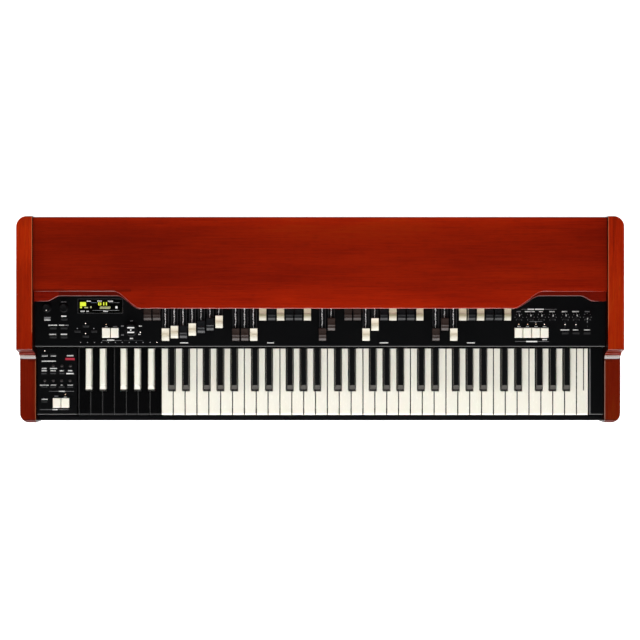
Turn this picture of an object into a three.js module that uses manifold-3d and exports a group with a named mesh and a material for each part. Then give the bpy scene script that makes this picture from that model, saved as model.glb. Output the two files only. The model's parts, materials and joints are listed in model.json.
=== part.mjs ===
// Portable tonewheel organ: a low wooden console with stepped end boards, a bank of drawbars on a
// black control panel, a preset octave in reversed colours and a five-octave keyboard.
// Millimetres: +X to the player's right, +Y to the rear, +Z up, origin at the centre of the base.
import * as THREE from "three";
import { mergeVertices } from "three/addons/utils/BufferGeometryUtils.js";
import Module from "manifold-3d";

const wasm = await Module();
wasm.setup();

// Overall size
const bodyWidth = 1188;
const bodyDepth = 406.5;
const bodyHeight = 130;

// Clearances and cutting
const fitGap = 0.4;
const runningGap = 0.3;
const overrun = 6;
const sink = 1;

// Base and rear panel
const footHeight = 10;
const footRadius = 17;
const footToeRadius = 14;
const footInsetX = 60;
const footInsetY = 34;
const chassisSheet = 1.5;
const chassisFlange = 18;
const rearSheet = 1.5;
const rearSetback = 6.75;

// End boards
const cheekThickness = 31.4;
const armHeight = 80;
const armLength = 124.25;
const armNoseRadius = 6;
const armCornerRadius = 19;
const rearCornerRadius = 21;
const coveRadius = 9.5;
const shelfDepth = 3.8;
const beadRadius = 2.1;
const slopeRun = 6;
const tierEdgeRadius = 2;

// Lid and fascia strips
const lidThickness = 13;
const lidSink = 5;
const lidEdge = 1.4;
const lidRearSetback = 1.6;
const lidNoseReach = 225.55;
const lidWingDepth = 33.4;
const leftCurveRun = 52;
const rightCurveRun = 60;
const curveEaseShare = 0.3;
const noseMarginLeft = 5.4;
const noseMarginRight = 2;
const fasciaHeight = 15;
const fasciaEdge = 1;
const fasciaLedge = 8.7;
const fasciaCurveLead = 2;
const fasciaHidden = 24;
const fasciaPadLength = 25.5;
const fasciaPadDepth = 10.5;
const fasciaPadRun = 25;

// Control panel
const panelSheet = 2;
const panelLip = 20;
const panelToe = 4.7;
const panelEdge = 1.5;
const panelReach = 137;
const panelDepth = 201.9;

// Keyboard
const slipSetback = 2.75;
const slipDepth = 10.8;
const slipHeight = 36;
const slipEdge = 2;
const keySlipGap = 0.8;
const octaveWidth = 165;
const naturalsPerOctave = 7;
const playingOctaves = 5;
const keyGap = 1.3;
const keyTop = 63;
const naturalDepth = 20;
const naturalWall = 3;
const naturalNose = 4;
const keyLap = 6;
const sharpFrontSetback = 47.8;
const sharpBase = 13.7;
const sharpCrest = 10.2;
const sharpRise = 11.5;
const sharpShoulder = 1.2;
const sharpRoot = 13;
const sharpFootRun = 3.5;
const sharpFootRise = 5.5;
const sharpNoseRun = 12.3;
const sharpGap = 0.7;
const sharpTail = 8;
const pivotReach = 207.9;
const railRadius = 3;
const railDepth = 5;
const railSpacing = 8;
const naturalAxisHeight = 47;
const rightBlockWidth = 27;
const blockGap = 2.4;
const blockRise = 3;
const blockFrontSetback = 1.2;
const blockWall = 2.5;
const blockEdge = 1.5;

// Key frame
const frameSheet = 1.5;
const seatDepth = 6.4;
const wallThickness = 2;
const wallTopMargin = 2;
const stopRailReach = 12;
const stopRailDepth = 10;
const stopRailHeight = 21.6;

// Drawbars
const barPitch = 17.55;
const barStep = 5;
const capWidth = 14.4;
const capLength = 24.8;
const capHeight = 12;
const capLift = 1;
const capReach = 50.9;
const stemWidth = 12.5;
const stemThickness = 4;
const stemLift = 2;
const stemLength = 96;
const guideSheet = 1.6;
const guideWall = 3;
const guideDepth = 50;
const guideHeight = 9;
const guideClearance = 2.1;
const guideEndMargin = 3;

// White tabs
const tabWidth = 15.5;
const tabPitch = 17;
const tabLength = 19.4;
const tabRise = 5.5;
const tabRoot = 5;
const tabEdge = 0.8;

// Knobs, buttons and display
const dialRadius = 9;
const dialHeight = 12;
const selectorRadius = 12.8;
const selectorHeight = 13;
const knobTaper = 0.8;
const knobEdge = 1;
const shaftRadius = 3;
const shaftLength = 9;
const trimmerRadius = 5.9;
const trimmerHeight = 10;
const trimmerTaper = 0.7;
const buttonWidth = 12.6;
const buttonDepth = 3.6;
const buttonRise = 1.2;
const displayWidth = 86.6;
const displayDepth = 26.6;
const displayRise = 0.4;

// Circuit board and sockets
const boardLength = 690;
const boardDepth = 112;
const boardSheet = 1.6;
const boardLift = 8;
const boardPostRadius = 4;
const boardPostInset = 9;
const socketHousingDepth = 24;
const socketProud = 1.2;
const socketCentreRise = 14;
const jackWidth = 16;
const jackBoreRadius = 3.4;
const jackDepth = 18;
const dinWidth = 21;
const dinBoreRadius = 6.6;
const dinDepth = 8;
const multiWidth = 30;
const multiBoreRadius = 10.5;
const inletWidth = 32;
const inletHeight = 25;
const inletWall = 3.5;
const inletDepth = 15;
const usbWidth = 14;
const usbHeight = 14;
const usbWall = 2.6;
const transformerWidth = 62;
const transformerDepth = 50;
const transformerHeight = 40;
const chipSize = 26;
const chipHeight = 3;
const heatsinkHeight = 18;
const heatsinkFin = 2.4;
const heatsinkFins = 7;

// Power switch
const rockerWidth = 20;
const rockerHeight = 13;
const rockerDepth = 9;
const rockerProud = 1;
const rockerSlack = 1;
const rockerTiltDegrees = 12;

// Facet counts
const arcFacets = 5;
const smallArcFacets = 3;
const edgeFacets = 2;
const curveFacets = 8;
const knobFacets = 20;
const trimmerFacets = 12;
const boreFacets = 10;
const footFacets = 16;

// Places that follow from the sizes above
const frontY = -bodyDepth / 2;
const backY = bodyDepth / 2;
const innerX = bodyWidth / 2 - cheekThickness;
const fillX = innerX - fitGap;
const floorZ = footHeight + chassisSheet;
const lidTopZ = bodyHeight - lidSink;
const lidBottomZ = lidTopZ - lidThickness;
const panelTopZ = lidBottomZ - fasciaHeight;
const panelBottomZ = panelTopZ - panelSheet;
const slipFrontY = frontY + slipSetback;
const slipBackY = slipFrontY + slipDepth;
const keyFrontY = slipBackY + keySlipGap;
const panelFrontY = keyFrontY + panelReach;
const panelBackY = panelFrontY + panelDepth;
const keyHeadBackY = panelFrontY + keyLap;
const pivotY = keyFrontY + pivotReach;
const sharpAxisHeight = naturalAxisHeight + railSpacing;
const naturalPitch = octaveWidth / naturalsPerOctave;
const rearPanelY = backY - rearSetback;
const lidBackY = backY - lidRearSetback;
const lidNoseY = frontY + lidNoseReach;
const lidWingY = lidNoseY + lidWingDepth;
const rightBlockX = fillX - rightBlockWidth;
const keysRightX = rightBlockX - blockGap;
const playingStartX = keysRightX - (playingOctaves * naturalsPerOctave + 1) * naturalPitch;
const presetStartX = playingStartX - octaveWidth;
const leftBlockX = presetStartX - blockGap;
const capFrontY = panelFrontY + capReach;
const capBackY = capFrontY + capLength;
const capBottomZ = panelTopZ + capLift;
const stemBottomZ = panelTopZ + stemLift;
const guideY = capBackY + guideClearance;

// Drawbar sets: place of the first bar from the centre line as a share of the pitch, and the step
// that each bar stands at
const barSets = [
  { name: "upper_a", startShare: -19.322, steps: [0, 0, 8, 7, 7, 6, 5, 4, 3] },
  { name: "upper_b", startShare: -9.4416, steps: [8, 8, 8, 0, 0, 0, 0, 0, 0] },
  { name: "pedal", startShare: 0.2621, steps: [8, 4] },
  { name: "lower_a", startShare: 3.1453, steps: [0, 0, 8, 4, 0, 0, 0, 0, 0] },
  { name: "lower_b", startShare: 12.9687, steps: [8, 4, 8, 0, 0, 0, 0, 0, 0] },
];
const setColours = ["brown", "brown", "white", "white", "black", "white", "black", "black", "white"];

// Sharps of an octave: the count of naturals before each, and its lean as a share of a natural
const sharpPlaceShares = [
  { after: 1, leanShare: -0.085 },
  { after: 2, leanShare: 0.1 },
  { after: 4, leanShare: -0.153 },
  { after: 5, leanShare: 0 },
  { after: 6, leanShare: 0.165 },
];

// Top of a drawbar cap from its rear to its front: shares of the cap's length and height
const capTopShares = [
  [0, 0.9],
  [0.04, 0.95],
  [0.24, 0.92],
  [0.44, 0.94],
  [0.47, 1],
  [0.58, 1],
  [0.61, 0.94],
  [0.8, 0.88],
  [0.95, 0.7],
  [0.99, 0.6],
];

// Places across the control panel: shares of its half width from the centre line, and of the
// visible depth from the panel's front edge to the lid's nose
const dialPlaceShares = { volume: [-0.957, 1.0177], value: [-0.8975, 1.0177] };
const selectorPlaceShares = [-0.6615, 0.434];
const displayPlaceShares = [-0.7705, 1.0662];
const trimmerPlaceShares = [
  [0.6968, 0.7738],
  [0.7367, 0.7738],
  [0.7752, 0.7738],
  [0.8144, 0.7738],
  [0.8595, 0.7738],
  [0.8982, 0.7738],
  [0.9369, 0.7738],
];
const panelButtonShares = [
  [-0.8975, 0.7185],
  [-0.936, 0.4843],
  [-0.8975, 0.4843],
  [-0.936, 0.2443],
  [-0.8975, 0.2443],
  [0.859, 0.3529],
  [0.897, 0.3529],
  [0.936, 0.3529],
];
const cursorButtonShares = [
  [-0.821, 0.5357],
  [-0.8505, 0.3974],
  [-0.792, 0.3974],
  [-0.821, 0.266],
];
const cursorWidthShare = 0.55;

// Places on the left block: shares of its width from the left and of its depth from the front
const blockButtonShares = [
  [0.18, 0.845],
  [0.4, 0.845],
  [0.18, 0.615],
  [0.4, 0.615],
  [0.62, 0.615],
  [0.83, 0.615],
  [0.18, 0.393],
  [0.4, 0.393],
  [0.62, 0.393],
  [0.83, 0.393],
  [0.18, 0.185],
];
const blockButtonScaleShare = 0.88;

// Tab groups: centre of the group as a share of the panel's half width, and how many tabs it has
const panelTabGroups = [
  { name: "vibrato_tab", centreShare: -0.7346, count: 2 },
  { name: "percussion_tab", centreShare: 0.7404, count: 4 },
];
const panelTabInset = 17;
const blockTabInset = 13.6;
const blockTabCentreShare = 0.606;

// Rear sockets from the player's left to right: kind and place as a share of the half width
const socketShares = [
  { kind: "inlet", acrossShare: -0.8093 },
  { kind: "multi", acrossShare: -0.587 },
  { kind: "usb", acrossShare: -0.4803 },
  { kind: "din", acrossShare: -0.3824 },
  { kind: "din", acrossShare: -0.3202 },
  { kind: "jack", acrossShare: -0.2134 },
  { kind: "jack", acrossShare: -0.1601 },
  { kind: "jack", acrossShare: -0.0534 },
  { kind: "jack", acrossShare: 0 },
  { kind: "jack", acrossShare: 0.1067 },
];
const sockets = socketShares.map(({ kind, acrossShare }) => ({ kind, x: acrossShare * fillX }));
const boardStartShare = -0.8894;
const rockerShare = -0.7275;
const boardStartX = boardStartShare * fillX;
const rockerX = rockerShare * fillX;

// Materials
const finish = (color, roughness, metalness = 0) =>
  new THREE.MeshStandardMaterial({ color, roughness, metalness });
const materials = {
  wood: finish("#7a1a0c", 0.25),
  panel: finish("#101012", 0.45),
  black: finish("#0c0c0e", 0.3),
  ivory: finish("#f6f2e4", 0.3),
  white: finish("#fbf7ea", 0.35),
  brown: finish("#46231e", 0.4),
  steel: finish("#1b1b1d", 0.5, 0.6),
  zinc: finish("#a9abad", 0.45, 0.8),
  board: finish("#1f4a2c", 0.6),
  rubber: finish("#161616", 0.9),
  glass: finish("#0a0c0c", 0.1),
};

// Solids from three.js geometries
function toSolid(geometry) {
  geometry.deleteAttribute("normal");
  geometry.deleteAttribute("uv");
  const merged = mergeVertices(geometry);
  return new wasm.Manifold(
    new wasm.Mesh({
      numProp: 3,
      vertProperties: merged.getAttribute("position").array,
      triVerts: new Uint32Array(merged.index.array),
    }),
  );
}

function join(solids) {
  return solids.reduce((whole, piece) => whole.add(piece));
}

function cut(solid, cutters) {
  return cutters.reduce((rest, cutter) => rest.subtract(cutter), solid);
}

function block([x0, x1], [y0, y1], [z0, z1]) {
  const geometry = new THREE.BoxGeometry(x1 - x0, y1 - y0, z1 - z0);
  geometry.translate((x0 + x1) / 2, (y0 + y1) / 2, (z0 + z1) / 2);
  return toSolid(geometry);
}

function shapeOf(points) {
  return new THREE.Shape(points.map(([x, y]) => new THREE.Vector2(x, y)));
}

// Extrusion of an outline in X and Y from z0 up to z1
function extrudeUp(points, z0, z1, facets = arcFacets) {
  const shape = Array.isArray(points) ? shapeOf(points) : points;
  const geometry = new THREE.ExtrudeGeometry(shape, {
    depth: z1 - z0,
    bevelEnabled: false,
    curveSegments: facets,
  });
  geometry.translate(0, 0, z0);
  return toSolid(geometry);
}

// Extrusion of an outline in X and Y whose upper and lower edges are rounded over
function extrudeSoft(points, z0, z1, edge) {
  const geometry = new THREE.ExtrudeGeometry(shapeOf(points), {
    depth: z1 - z0 - 2 * edge,
    bevelThickness: edge,
    bevelSize: edge,
    bevelOffset: -edge,
    bevelSegments: edgeFacets,
  });
  geometry.translate(0, 0, z0 + edge);
  return toSolid(geometry);
}

// Extrusion of a side profile in Y and Z from x0 to x1
function extrudeAcross(profile, x0, x1, facets = arcFacets) {
  const shape = Array.isArray(profile) ? shapeOf(profile) : profile;
  const geometry = new THREE.ExtrudeGeometry(shape, {
    depth: x1 - x0,
    bevelEnabled: false,
    curveSegments: facets,
  });
  const toProfilePlane = new THREE.Matrix4().makeBasis(
    new THREE.Vector3(0, 1, 0),
    new THREE.Vector3(0, 0, 1),
    new THREE.Vector3(1, 0, 0),
  );
  geometry.applyMatrix4(toProfilePlane);
  geometry.translate(x0, 0, 0);
  return toSolid(geometry);
}

// Extrusion of a cross-section in X and Z from y0 back to y1
function extrudeBack(section, y0, y1) {
  const geometry = new THREE.ExtrudeGeometry(shapeOf(section), {
    depth: y1 - y0,
    bevelEnabled: false,
  });
  geometry.rotateX(Math.PI / 2);
  geometry.translate(0, y1, 0);
  return toSolid(geometry);
}

// Turned solid about a vertical axis: profile of radius and height from the bottom to the top
function turned(profile, facets) {
  const points = profile.map(([radius, height]) => new THREE.Vector2(radius, height));
  const geometry = new THREE.LatheGeometry(points, facets);
  geometry.rotateX(Math.PI / 2);
  return toSolid(geometry);
}

function upright(radius, topRadius, x, y, [z0, z1], facets) {
  const geometry = new THREE.CylinderGeometry(topRadius, radius, z1 - z0, facets);
  geometry.rotateX(Math.PI / 2);
  geometry.translate(x, y, (z0 + z1) / 2);
  return toSolid(geometry);
}

// Round bore that runs along Y, open towards the rear
function boreAlongY(radius, x, z, [y0, y1]) {
  const geometry = new THREE.CylinderGeometry(radius, radius, y1 - y0, boreFacets);
  geometry.translate(x, (y0 + y1) / 2, z);
  return toSolid(geometry);
}

// Named meshes
function piece(name, solid, material) {
  const { vertProperties, triVerts } = solid.getMesh();
  const geometry = new THREE.BufferGeometry();
  geometry.setAttribute("position", new THREE.BufferAttribute(vertProperties, 3));
  geometry.setIndex(new THREE.BufferAttribute(triVerts, 1));
  const flat = geometry.toNonIndexed();
  flat.computeVertexNormals();
  const mesh = new THREE.Mesh(flat, material);
  mesh.name = name;
  return mesh;
}

function placed(mesh, x, y, z) {
  mesh.position.set(x, y, z);
  return mesh;
}

function groupOf(...children) {
  const group = new THREE.Group();
  group.add(...children.flat());
  return group;
}

// End boards
// Side profile of an end board: arm, cove, shelf, bead, sloped face and upper tier
function cheekProfile() {
  const coveFootY = frontY + armLength;
  const shelfZ = armHeight + coveRadius;
  const beadY = coveFootY + coveRadius + shelfDepth;
  const beadZ = shelfZ + beadRadius;
  const slopeStart = Math.PI / 3;
  const faceY = beadY + beadRadius * Math.cos(slopeStart) + slopeRun;
  const shape = new THREE.Shape();
  shape.moveTo(frontY, footHeight);
  shape.lineTo(backY, footHeight);
  shape.lineTo(backY, bodyHeight - tierEdgeRadius);
  shape.absarc(backY - tierEdgeRadius, bodyHeight - tierEdgeRadius, tierEdgeRadius, 0, Math.PI / 2);
  shape.lineTo(faceY + tierEdgeRadius, bodyHeight);
  shape.absarc(
    faceY + tierEdgeRadius,
    bodyHeight - tierEdgeRadius,
    tierEdgeRadius,
    Math.PI / 2,
    Math.PI,
  );
  shape.absarc(beadY, beadZ, beadRadius, slopeStart, 1.5 * Math.PI);
  shape.lineTo(beadY - shelfDepth, shelfZ);
  shape.absarc(coveFootY, shelfZ, coveRadius, 0, -Math.PI / 2, true);
  shape.lineTo(frontY + armNoseRadius, armHeight);
  shape.absarc(
    frontY + armNoseRadius,
    armHeight - armNoseRadius,
    armNoseRadius,
    Math.PI / 2,
    Math.PI,
  );
  shape.closePath();
  return shape;
}

// Plan of the right-hand end board, rounded at its two outer corners
function cheekPlan() {
  const outerX = bodyWidth / 2;
  const shape = new THREE.Shape();
  shape.moveTo(innerX, frontY);
  shape.lineTo(outerX - armCornerRadius, frontY);
  shape.absarc(outerX - armCornerRadius, frontY + armCornerRadius, armCornerRadius, -Math.PI / 2, 0);
  shape.lineTo(outerX, backY - rearCornerRadius);
  shape.absarc(outerX - rearCornerRadius, backY - rearCornerRadius, rearCornerRadius, 0, Math.PI / 2);
  shape.lineTo(innerX, backY);
  shape.closePath();
  return shape;
}

function cheeks() {
  const planBody = extrudeUp(cheekPlan(), 0, bodyHeight + overrun);
  const profileBody = extrudeAcross(cheekProfile(), innerX, bodyWidth / 2, arcFacets);
  const solid = planBody.intersect(profileBody);
  const right = piece("right_cheek", solid, materials.wood);
  const left = piece("left_cheek", solid, materials.wood);
  left.scale.x = -1;
  return [left, right];
}

// Lid and fascia strips
// S-shaped stretch of a front contour between two levels, level at both ends
function easeCurve(x0, y0, x1, y1) {
  const ease = curveEaseShare * (x1 - x0);
  const curve = new THREE.CubicBezierCurve(
    new THREE.Vector2(x0, y0),
    new THREE.Vector2(x0 + ease, y0),
    new THREE.Vector2(x1 - ease, y1),
    new THREE.Vector2(x1, y1),
  );
  return curve.getPoints(curveFacets).map((point) => [point.x, point.y]);
}

function barX(set, index) {
  return (set.startShare + index) * barPitch;
}

const bankLeftX = barX(barSets[0], 0) - capWidth / 2;
const lastSet = barSets[barSets.length - 1];
const bankRightX = barX(lastSet, lastSet.steps.length - 1) + capWidth / 2;
const noseLeftX = bankLeftX - noseMarginLeft;
const noseRightX = bankRightX + noseMarginRight;

function lid() {
  const outline = [
    [-fillX, lidBackY],
    [-fillX, lidWingY],
    ...easeCurve(noseLeftX - leftCurveRun, lidWingY, noseLeftX, lidNoseY),
    ...easeCurve(noseRightX, lidNoseY, noseRightX + rightCurveRun, lidWingY),
    [fillX, lidWingY],
    [fillX, lidBackY],
  ];
  return piece("top_lid", extrudeSoft(outline, lidBottomZ, lidTopZ, lidEdge), materials.wood);
}

// Fascia strip at one side: a ledge in front of the lid's wing, a pad at the end board and a
// curved end that leads the lid's own curve by a little
function fascia(name, side, noseX, curveRun) {
  const ledgeY = lidWingY - fasciaLedge;
  const padY = ledgeY - fasciaPadDepth;
  const endX = noseX * side - fasciaCurveLead / 2;
  const curveStartX = endX + fasciaCurveLead * 2;
  const curveEndX = curveStartX + curveRun - fasciaLedge;
  const padX = fillX - fasciaPadLength;
  const contour = [
    [endX, lidWingY + fasciaHidden],
    [endX, lidNoseY - sink],
    ...easeCurve(curveStartX, lidNoseY - sink, curveEndX, ledgeY),
    ...easeCurve(padX - fasciaPadRun, ledgeY, padX, padY),
    [fillX, padY],
    [fillX, lidWingY + fasciaHidden],
  ];
  const outline = contour.map(([x, y]) => [x * side, y]);
  return piece(name, extrudeSoft(outline, panelTopZ, lidBottomZ, fasciaEdge), materials.wood);
}

function lidParts() {
  return [
    lid(),
    fascia("left_fascia", -1, noseLeftX, leftCurveRun),
    fascia("right_fascia", 1, noseRightX, rightCurveRun),
  ];
}

// Base: floor sheet with an upturned flange behind each end, feet and rear panel
function chassis() {
  const backEdgeY = rearPanelY - rearSheet - fitGap;
  const floor = block([-fillX, fillX], [slipFrontY, rearPanelY], [footHeight, floorZ]);
  const flanges = [-1, 1].map((side) => {
    const edges = [side * fillX, side * (fillX - chassisSheet)].sort((a, b) => a - b);
    return block(edges, [keyHeadBackY, backEdgeY], [footHeight, floorZ + chassisFlange]);
  });
  return piece("bottom_chassis", join([floor, ...flanges]), materials.steel);
}

function feet() {
  const profile = [
    [0, 0],
    [footToeRadius, 0],
    [footRadius, footHeight / 3],
    [footRadius, footHeight],
    [0, footHeight],
  ];
  const solid = turned(profile, footFacets);
  const places = [
    ["foot_front_left", -1, frontY + footInsetY],
    ["foot_front_right", 1, frontY + footInsetY],
    ["foot_rear_left", -1, backY - footInsetY],
    ["foot_rear_right", 1, backY - footInsetY],
  ];
  return places.map(([name, side, y]) =>
    placed(piece(name, solid, materials.rubber), side * (fillX - footInsetX), y, 0),
  );
}

const boardTopZ = floorZ + boardLift + boardSheet;
const socketZ = boardTopZ + socketCentreRise;
const socketSizes = {
  inlet: { width: inletWidth, height: inletHeight },
  multi: { width: multiWidth, height: multiWidth },
  usb: { width: usbWidth, height: usbHeight },
  din: { width: dinWidth, height: dinWidth },
  jack: { width: jackWidth, height: jackWidth },
};

function rearPanel() {
  const sheetY = [rearPanelY - rearSheet, rearPanelY];
  const holeY = [rearPanelY - rearSheet - overrun, rearPanelY + overrun];
  const sheet = block([-fillX, fillX], sheetY, [floorZ, lidBottomZ]);
  const socketHoles = sockets.map(({ kind, x }) => {
    const { width, height } = socketSizes[kind];
    return block(
      [x - width / 2 - fitGap, x + width / 2 + fitGap],
      holeY,
      [socketZ - height / 2 - fitGap, socketZ + height / 2 + fitGap],
    );
  });
  const rockerHole = block(
    [rockerX - rockerWidth / 2 - fitGap, rockerX + rockerWidth / 2 + fitGap],
    holeY,
    [socketZ - rockerHeight / 2 - rockerSlack, socketZ + rockerHeight / 2 + rockerSlack],
  );
  return piece("rear_panel", cut(sheet, [...socketHoles, rockerHole]), materials.steel);
}

// Rocker of the power switch: its face is a shallow V, so that one half is flush in each state
function powerSwitch() {
  const tilt = THREE.MathUtils.degToRad(rockerTiltDegrees);
  const half = rockerHeight / 2;
  const profile = [
    [-rockerDepth, -half / 2],
    [0, -half],
    [0, 0],
    [half * Math.sin(tilt), half * Math.cos(tilt)],
    [-rockerDepth, half / 2],
  ];
  const solid = extrudeAcross(profile, -rockerWidth / 2, rockerWidth / 2);
  return placed(piece("power_switch", solid, materials.black), rockerX, rearPanelY + rockerProud, socketZ);
}

// Main circuit board with its posts, rear sockets, transformer, chips and heatsink
function socketBody({ kind, x }) {
  const { width, height } = socketSizes[kind];
  const faceY = rearPanelY + socketProud;
  const xRange = [x - width / 2, x + width / 2];
  const topZ = socketZ + height / 2;
  const nose = block(xRange, [faceY - socketHousingDepth, faceY], [socketZ - height / 2, topZ]);
  const foot = block(
    xRange,
    [faceY - socketHousingDepth, rearPanelY - rearSheet - fitGap],
    [boardTopZ - boardSheet, topZ],
  );
  return cut(join([nose, foot]), [socketMouth(kind, x, faceY)]);
}

function socketMouth(kind, x, faceY) {
  const past = faceY + overrun;
  const mouths = {
    jack: () => boreAlongY(jackBoreRadius, x, socketZ, [faceY - jackDepth, past]),
    din: () => boreAlongY(dinBoreRadius, x, socketZ, [faceY - dinDepth, past]),
    multi: () => boreAlongY(multiBoreRadius, x, socketZ, [faceY - dinDepth, past]),
    inlet: () => recess(x, inletWidth, inletHeight, inletWall, [faceY - inletDepth, past]),
    usb: () => recess(x, usbWidth, usbHeight, usbWall, [faceY - dinDepth, past]),
  };
  return mouths[kind]();
}

function recess(x, width, height, wall, yRange) {
  return block(
    [x - width / 2 + wall, x + width / 2 - wall],
    yRange,
    [socketZ - height / 2 + wall, socketZ + height / 2 - wall],
  );
}

function heatsink(x, y) {
  const pitch = 2 * heatsinkFin;
  const length = heatsinkFins * pitch;
  const seat = [boardTopZ - boardSheet, boardTopZ + heatsinkFin];
  const base = block([x, x + length], [y, y + chipSize], seat);
  const fins = Array.from({ length: heatsinkFins }, (_, index) => {
    const finX = x + index * pitch;
    return block([finX, finX + heatsinkFin], [y, y + chipSize], [boardTopZ, boardTopZ + heatsinkHeight]);
  });
  return join([base, ...fins]);
}

function mainBoard() {
  const boardBackY = rearPanelY - rearSheet - fitGap;
  const boardFrontY = boardBackY - boardDepth;
  const boardEndX = boardStartX + boardLength;
  const sheet = block(
    [boardStartX, boardEndX],
    [boardFrontY, boardBackY],
    [boardTopZ - boardSheet, boardTopZ],
  );
  const posts = [boardStartX + boardPostInset, boardEndX - boardPostInset].flatMap((x) =>
    [boardFrontY + boardPostInset, boardBackY - boardPostInset].map((y) =>
      upright(boardPostRadius, boardPostRadius, x, y, [floorZ, boardTopZ], boreFacets),
    ),
  );
  const partZ = boardTopZ - boardSheet / 2;
  const middleY = boardFrontY + boardDepth / 3;
  const transformerX = boardStartX + 2 * boardPostInset;
  const transformer = block(
    [transformerX, transformerX + transformerWidth],
    [middleY - transformerDepth / 2, middleY + transformerDepth / 2],
    [partZ, boardTopZ + transformerHeight],
  );
  const chipPitch = 3 * chipSize;
  const chips = [2, 3, 4, 6].map((step) => {
    const x = transformerX + transformerWidth + step * chipPitch;
    return block([x, x + chipSize], [middleY, middleY + chipSize], [partZ, boardTopZ + chipHeight]);
  });
  const cooler = heatsink(transformerX + transformerWidth + chipPitch, middleY);
  const solid = join([sheet, ...posts, transformer, ...chips, cooler, ...sockets.map(socketBody)]);
  return piece("main_board", solid, materials.board);
}

// Keyboard
// Side profile of a row of naturals: head with a rounded nose, low tail and round hinge bead
function naturalProfile() {
  const headBottomZ = keyTop - naturalDepth;
  const tailY = keyHeadBackY;
  const shape = new THREE.Shape();
  shape.moveTo(keyFrontY, headBottomZ);
  shape.lineTo(tailY, headBottomZ);
  shape.lineTo(tailY, naturalAxisHeight - railRadius);
  shape.absarc(pivotY, naturalAxisHeight, railRadius, -Math.PI / 2, Math.PI / 2);
  shape.lineTo(tailY, naturalAxisHeight + railRadius);
  shape.lineTo(tailY, keyTop);
  shape.absarc(
    keyFrontY + naturalNose,
    keyTop - naturalNose,
    naturalNose,
    Math.PI / 2,
    Math.PI,
  );
  shape.closePath();
  return shape;
}

function sharpCentre({ after, leanShare }) {
  return (after + leanShare) * naturalPitch;
}

// Naturals of one octave, or with the extra top key, joined by the hinge bead at their tails
function naturalComb(keyCount) {
  const railFrontY = pivotY - railDepth;
  const bottomZ = keyTop - naturalDepth - overrun;
  const topZ = keyTop + overrun;
  const row = extrudeAcross(
    naturalProfile(),
    keyGap / 2,
    keyCount * naturalPitch - keyGap / 2,
    smallArcFacets,
  );
  const slots = Array.from({ length: keyCount - 1 }, (_, index) => {
    const x = (index + 1) * naturalPitch;
    return block(
      [x - keyGap / 2, x + keyGap / 2],
      [keyFrontY - overrun, railFrontY],
      [bottomZ, topZ],
    );
  });
  const notches = sharpPlaceShares.map((place) => {
    const x = sharpCentre(place);
    const halfNotch = sharpBase / 2 + sharpGap;
    const notchFrontY = keyFrontY + sharpFrontSetback - sharpGap;
    return block([x - halfNotch, x + halfNotch], [notchFrontY, railFrontY], [bottomZ, topZ]);
  });
  const hollows = Array.from({ length: keyCount }, (_, index) => {
    const x = index * naturalPitch;
    return block(
      [x + naturalWall, x + naturalPitch - naturalWall],
      [keyFrontY + naturalWall, keyFrontY + sharpFrontSetback - naturalWall],
      [bottomZ, keyTop - naturalWall],
    );
  });
  return cut(row, [...slots, ...notches, ...hollows]);
}

// Side profile of a sharp: steep foot, sloped nose, straight crest and square root
function sharpProfile() {
  const frontFaceY = keyFrontY + sharpFrontSetback;
  const crestZ = keyTop + sharpRise;
  const rootZ = keyTop - sharpRoot;
  return [
    [frontFaceY, rootZ],
    [keyHeadBackY, rootZ],
    [keyHeadBackY, crestZ],
    [frontFaceY + sharpNoseRun, crestZ],
    [frontFaceY + sharpNoseRun - sharpShoulder, crestZ - sharpShoulder / 3],
    [frontFaceY + sharpFootRun, keyTop + sharpFootRise],
    [frontFaceY, keyTop],
  ];
}

// Cross-section of a sharp: straight root and flanks that lean in to the crest
function sharpSection(x) {
  const crestZ = keyTop + sharpRise;
  const half = [
    [sharpBase / 2, keyTop - sharpRoot],
    [sharpBase / 2, keyTop + sharpShoulder],
    [sharpCrest / 2, crestZ - sharpShoulder],
    [sharpCrest / 2 - sharpShoulder, crestZ],
  ];
  const mirrored = half.map(([offset, z]) => [-offset, z]).reverse();
  return [...half, ...mirrored].map(([offset, z]) => [x + offset, z]);
}

function sharpHinge() {
  const railFrontY = pivotY - railDepth;
  const shape = new THREE.Shape();
  shape.moveTo(railFrontY, sharpAxisHeight - railRadius);
  shape.absarc(pivotY, sharpAxisHeight, railRadius, -Math.PI / 2, Math.PI / 2);
  shape.lineTo(railFrontY, sharpAxisHeight + railRadius);
  shape.closePath();
  return shape;
}

// Sharps of one octave, joined by the hinge bead at their tails
function sharpComb() {
  const frontFaceY = keyFrontY + sharpFrontSetback;
  const sideProfile = extrudeAcross(sharpProfile(), 0, octaveWidth);
  const sections = sharpPlaceShares.map((place) =>
    extrudeBack(sharpSection(sharpCentre(place)), frontFaceY - sink, keyHeadBackY),
  );
  const heads = join(sections).intersect(sideProfile);
  const tails = sharpPlaceShares.map((place) => {
    const x = sharpCentre(place);
    return block(
      [x - sharpTail / 2, x + sharpTail / 2],
      [keyHeadBackY - sink, pivotY],
      [sharpAxisHeight - railRadius, sharpAxisHeight + railRadius],
    );
  });
  const hinge = extrudeAcross(sharpHinge(), keyGap / 2, octaveWidth - keyGap / 2, smallArcFacets);
  return join([heads, ...tails, hinge]);
}

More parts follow.
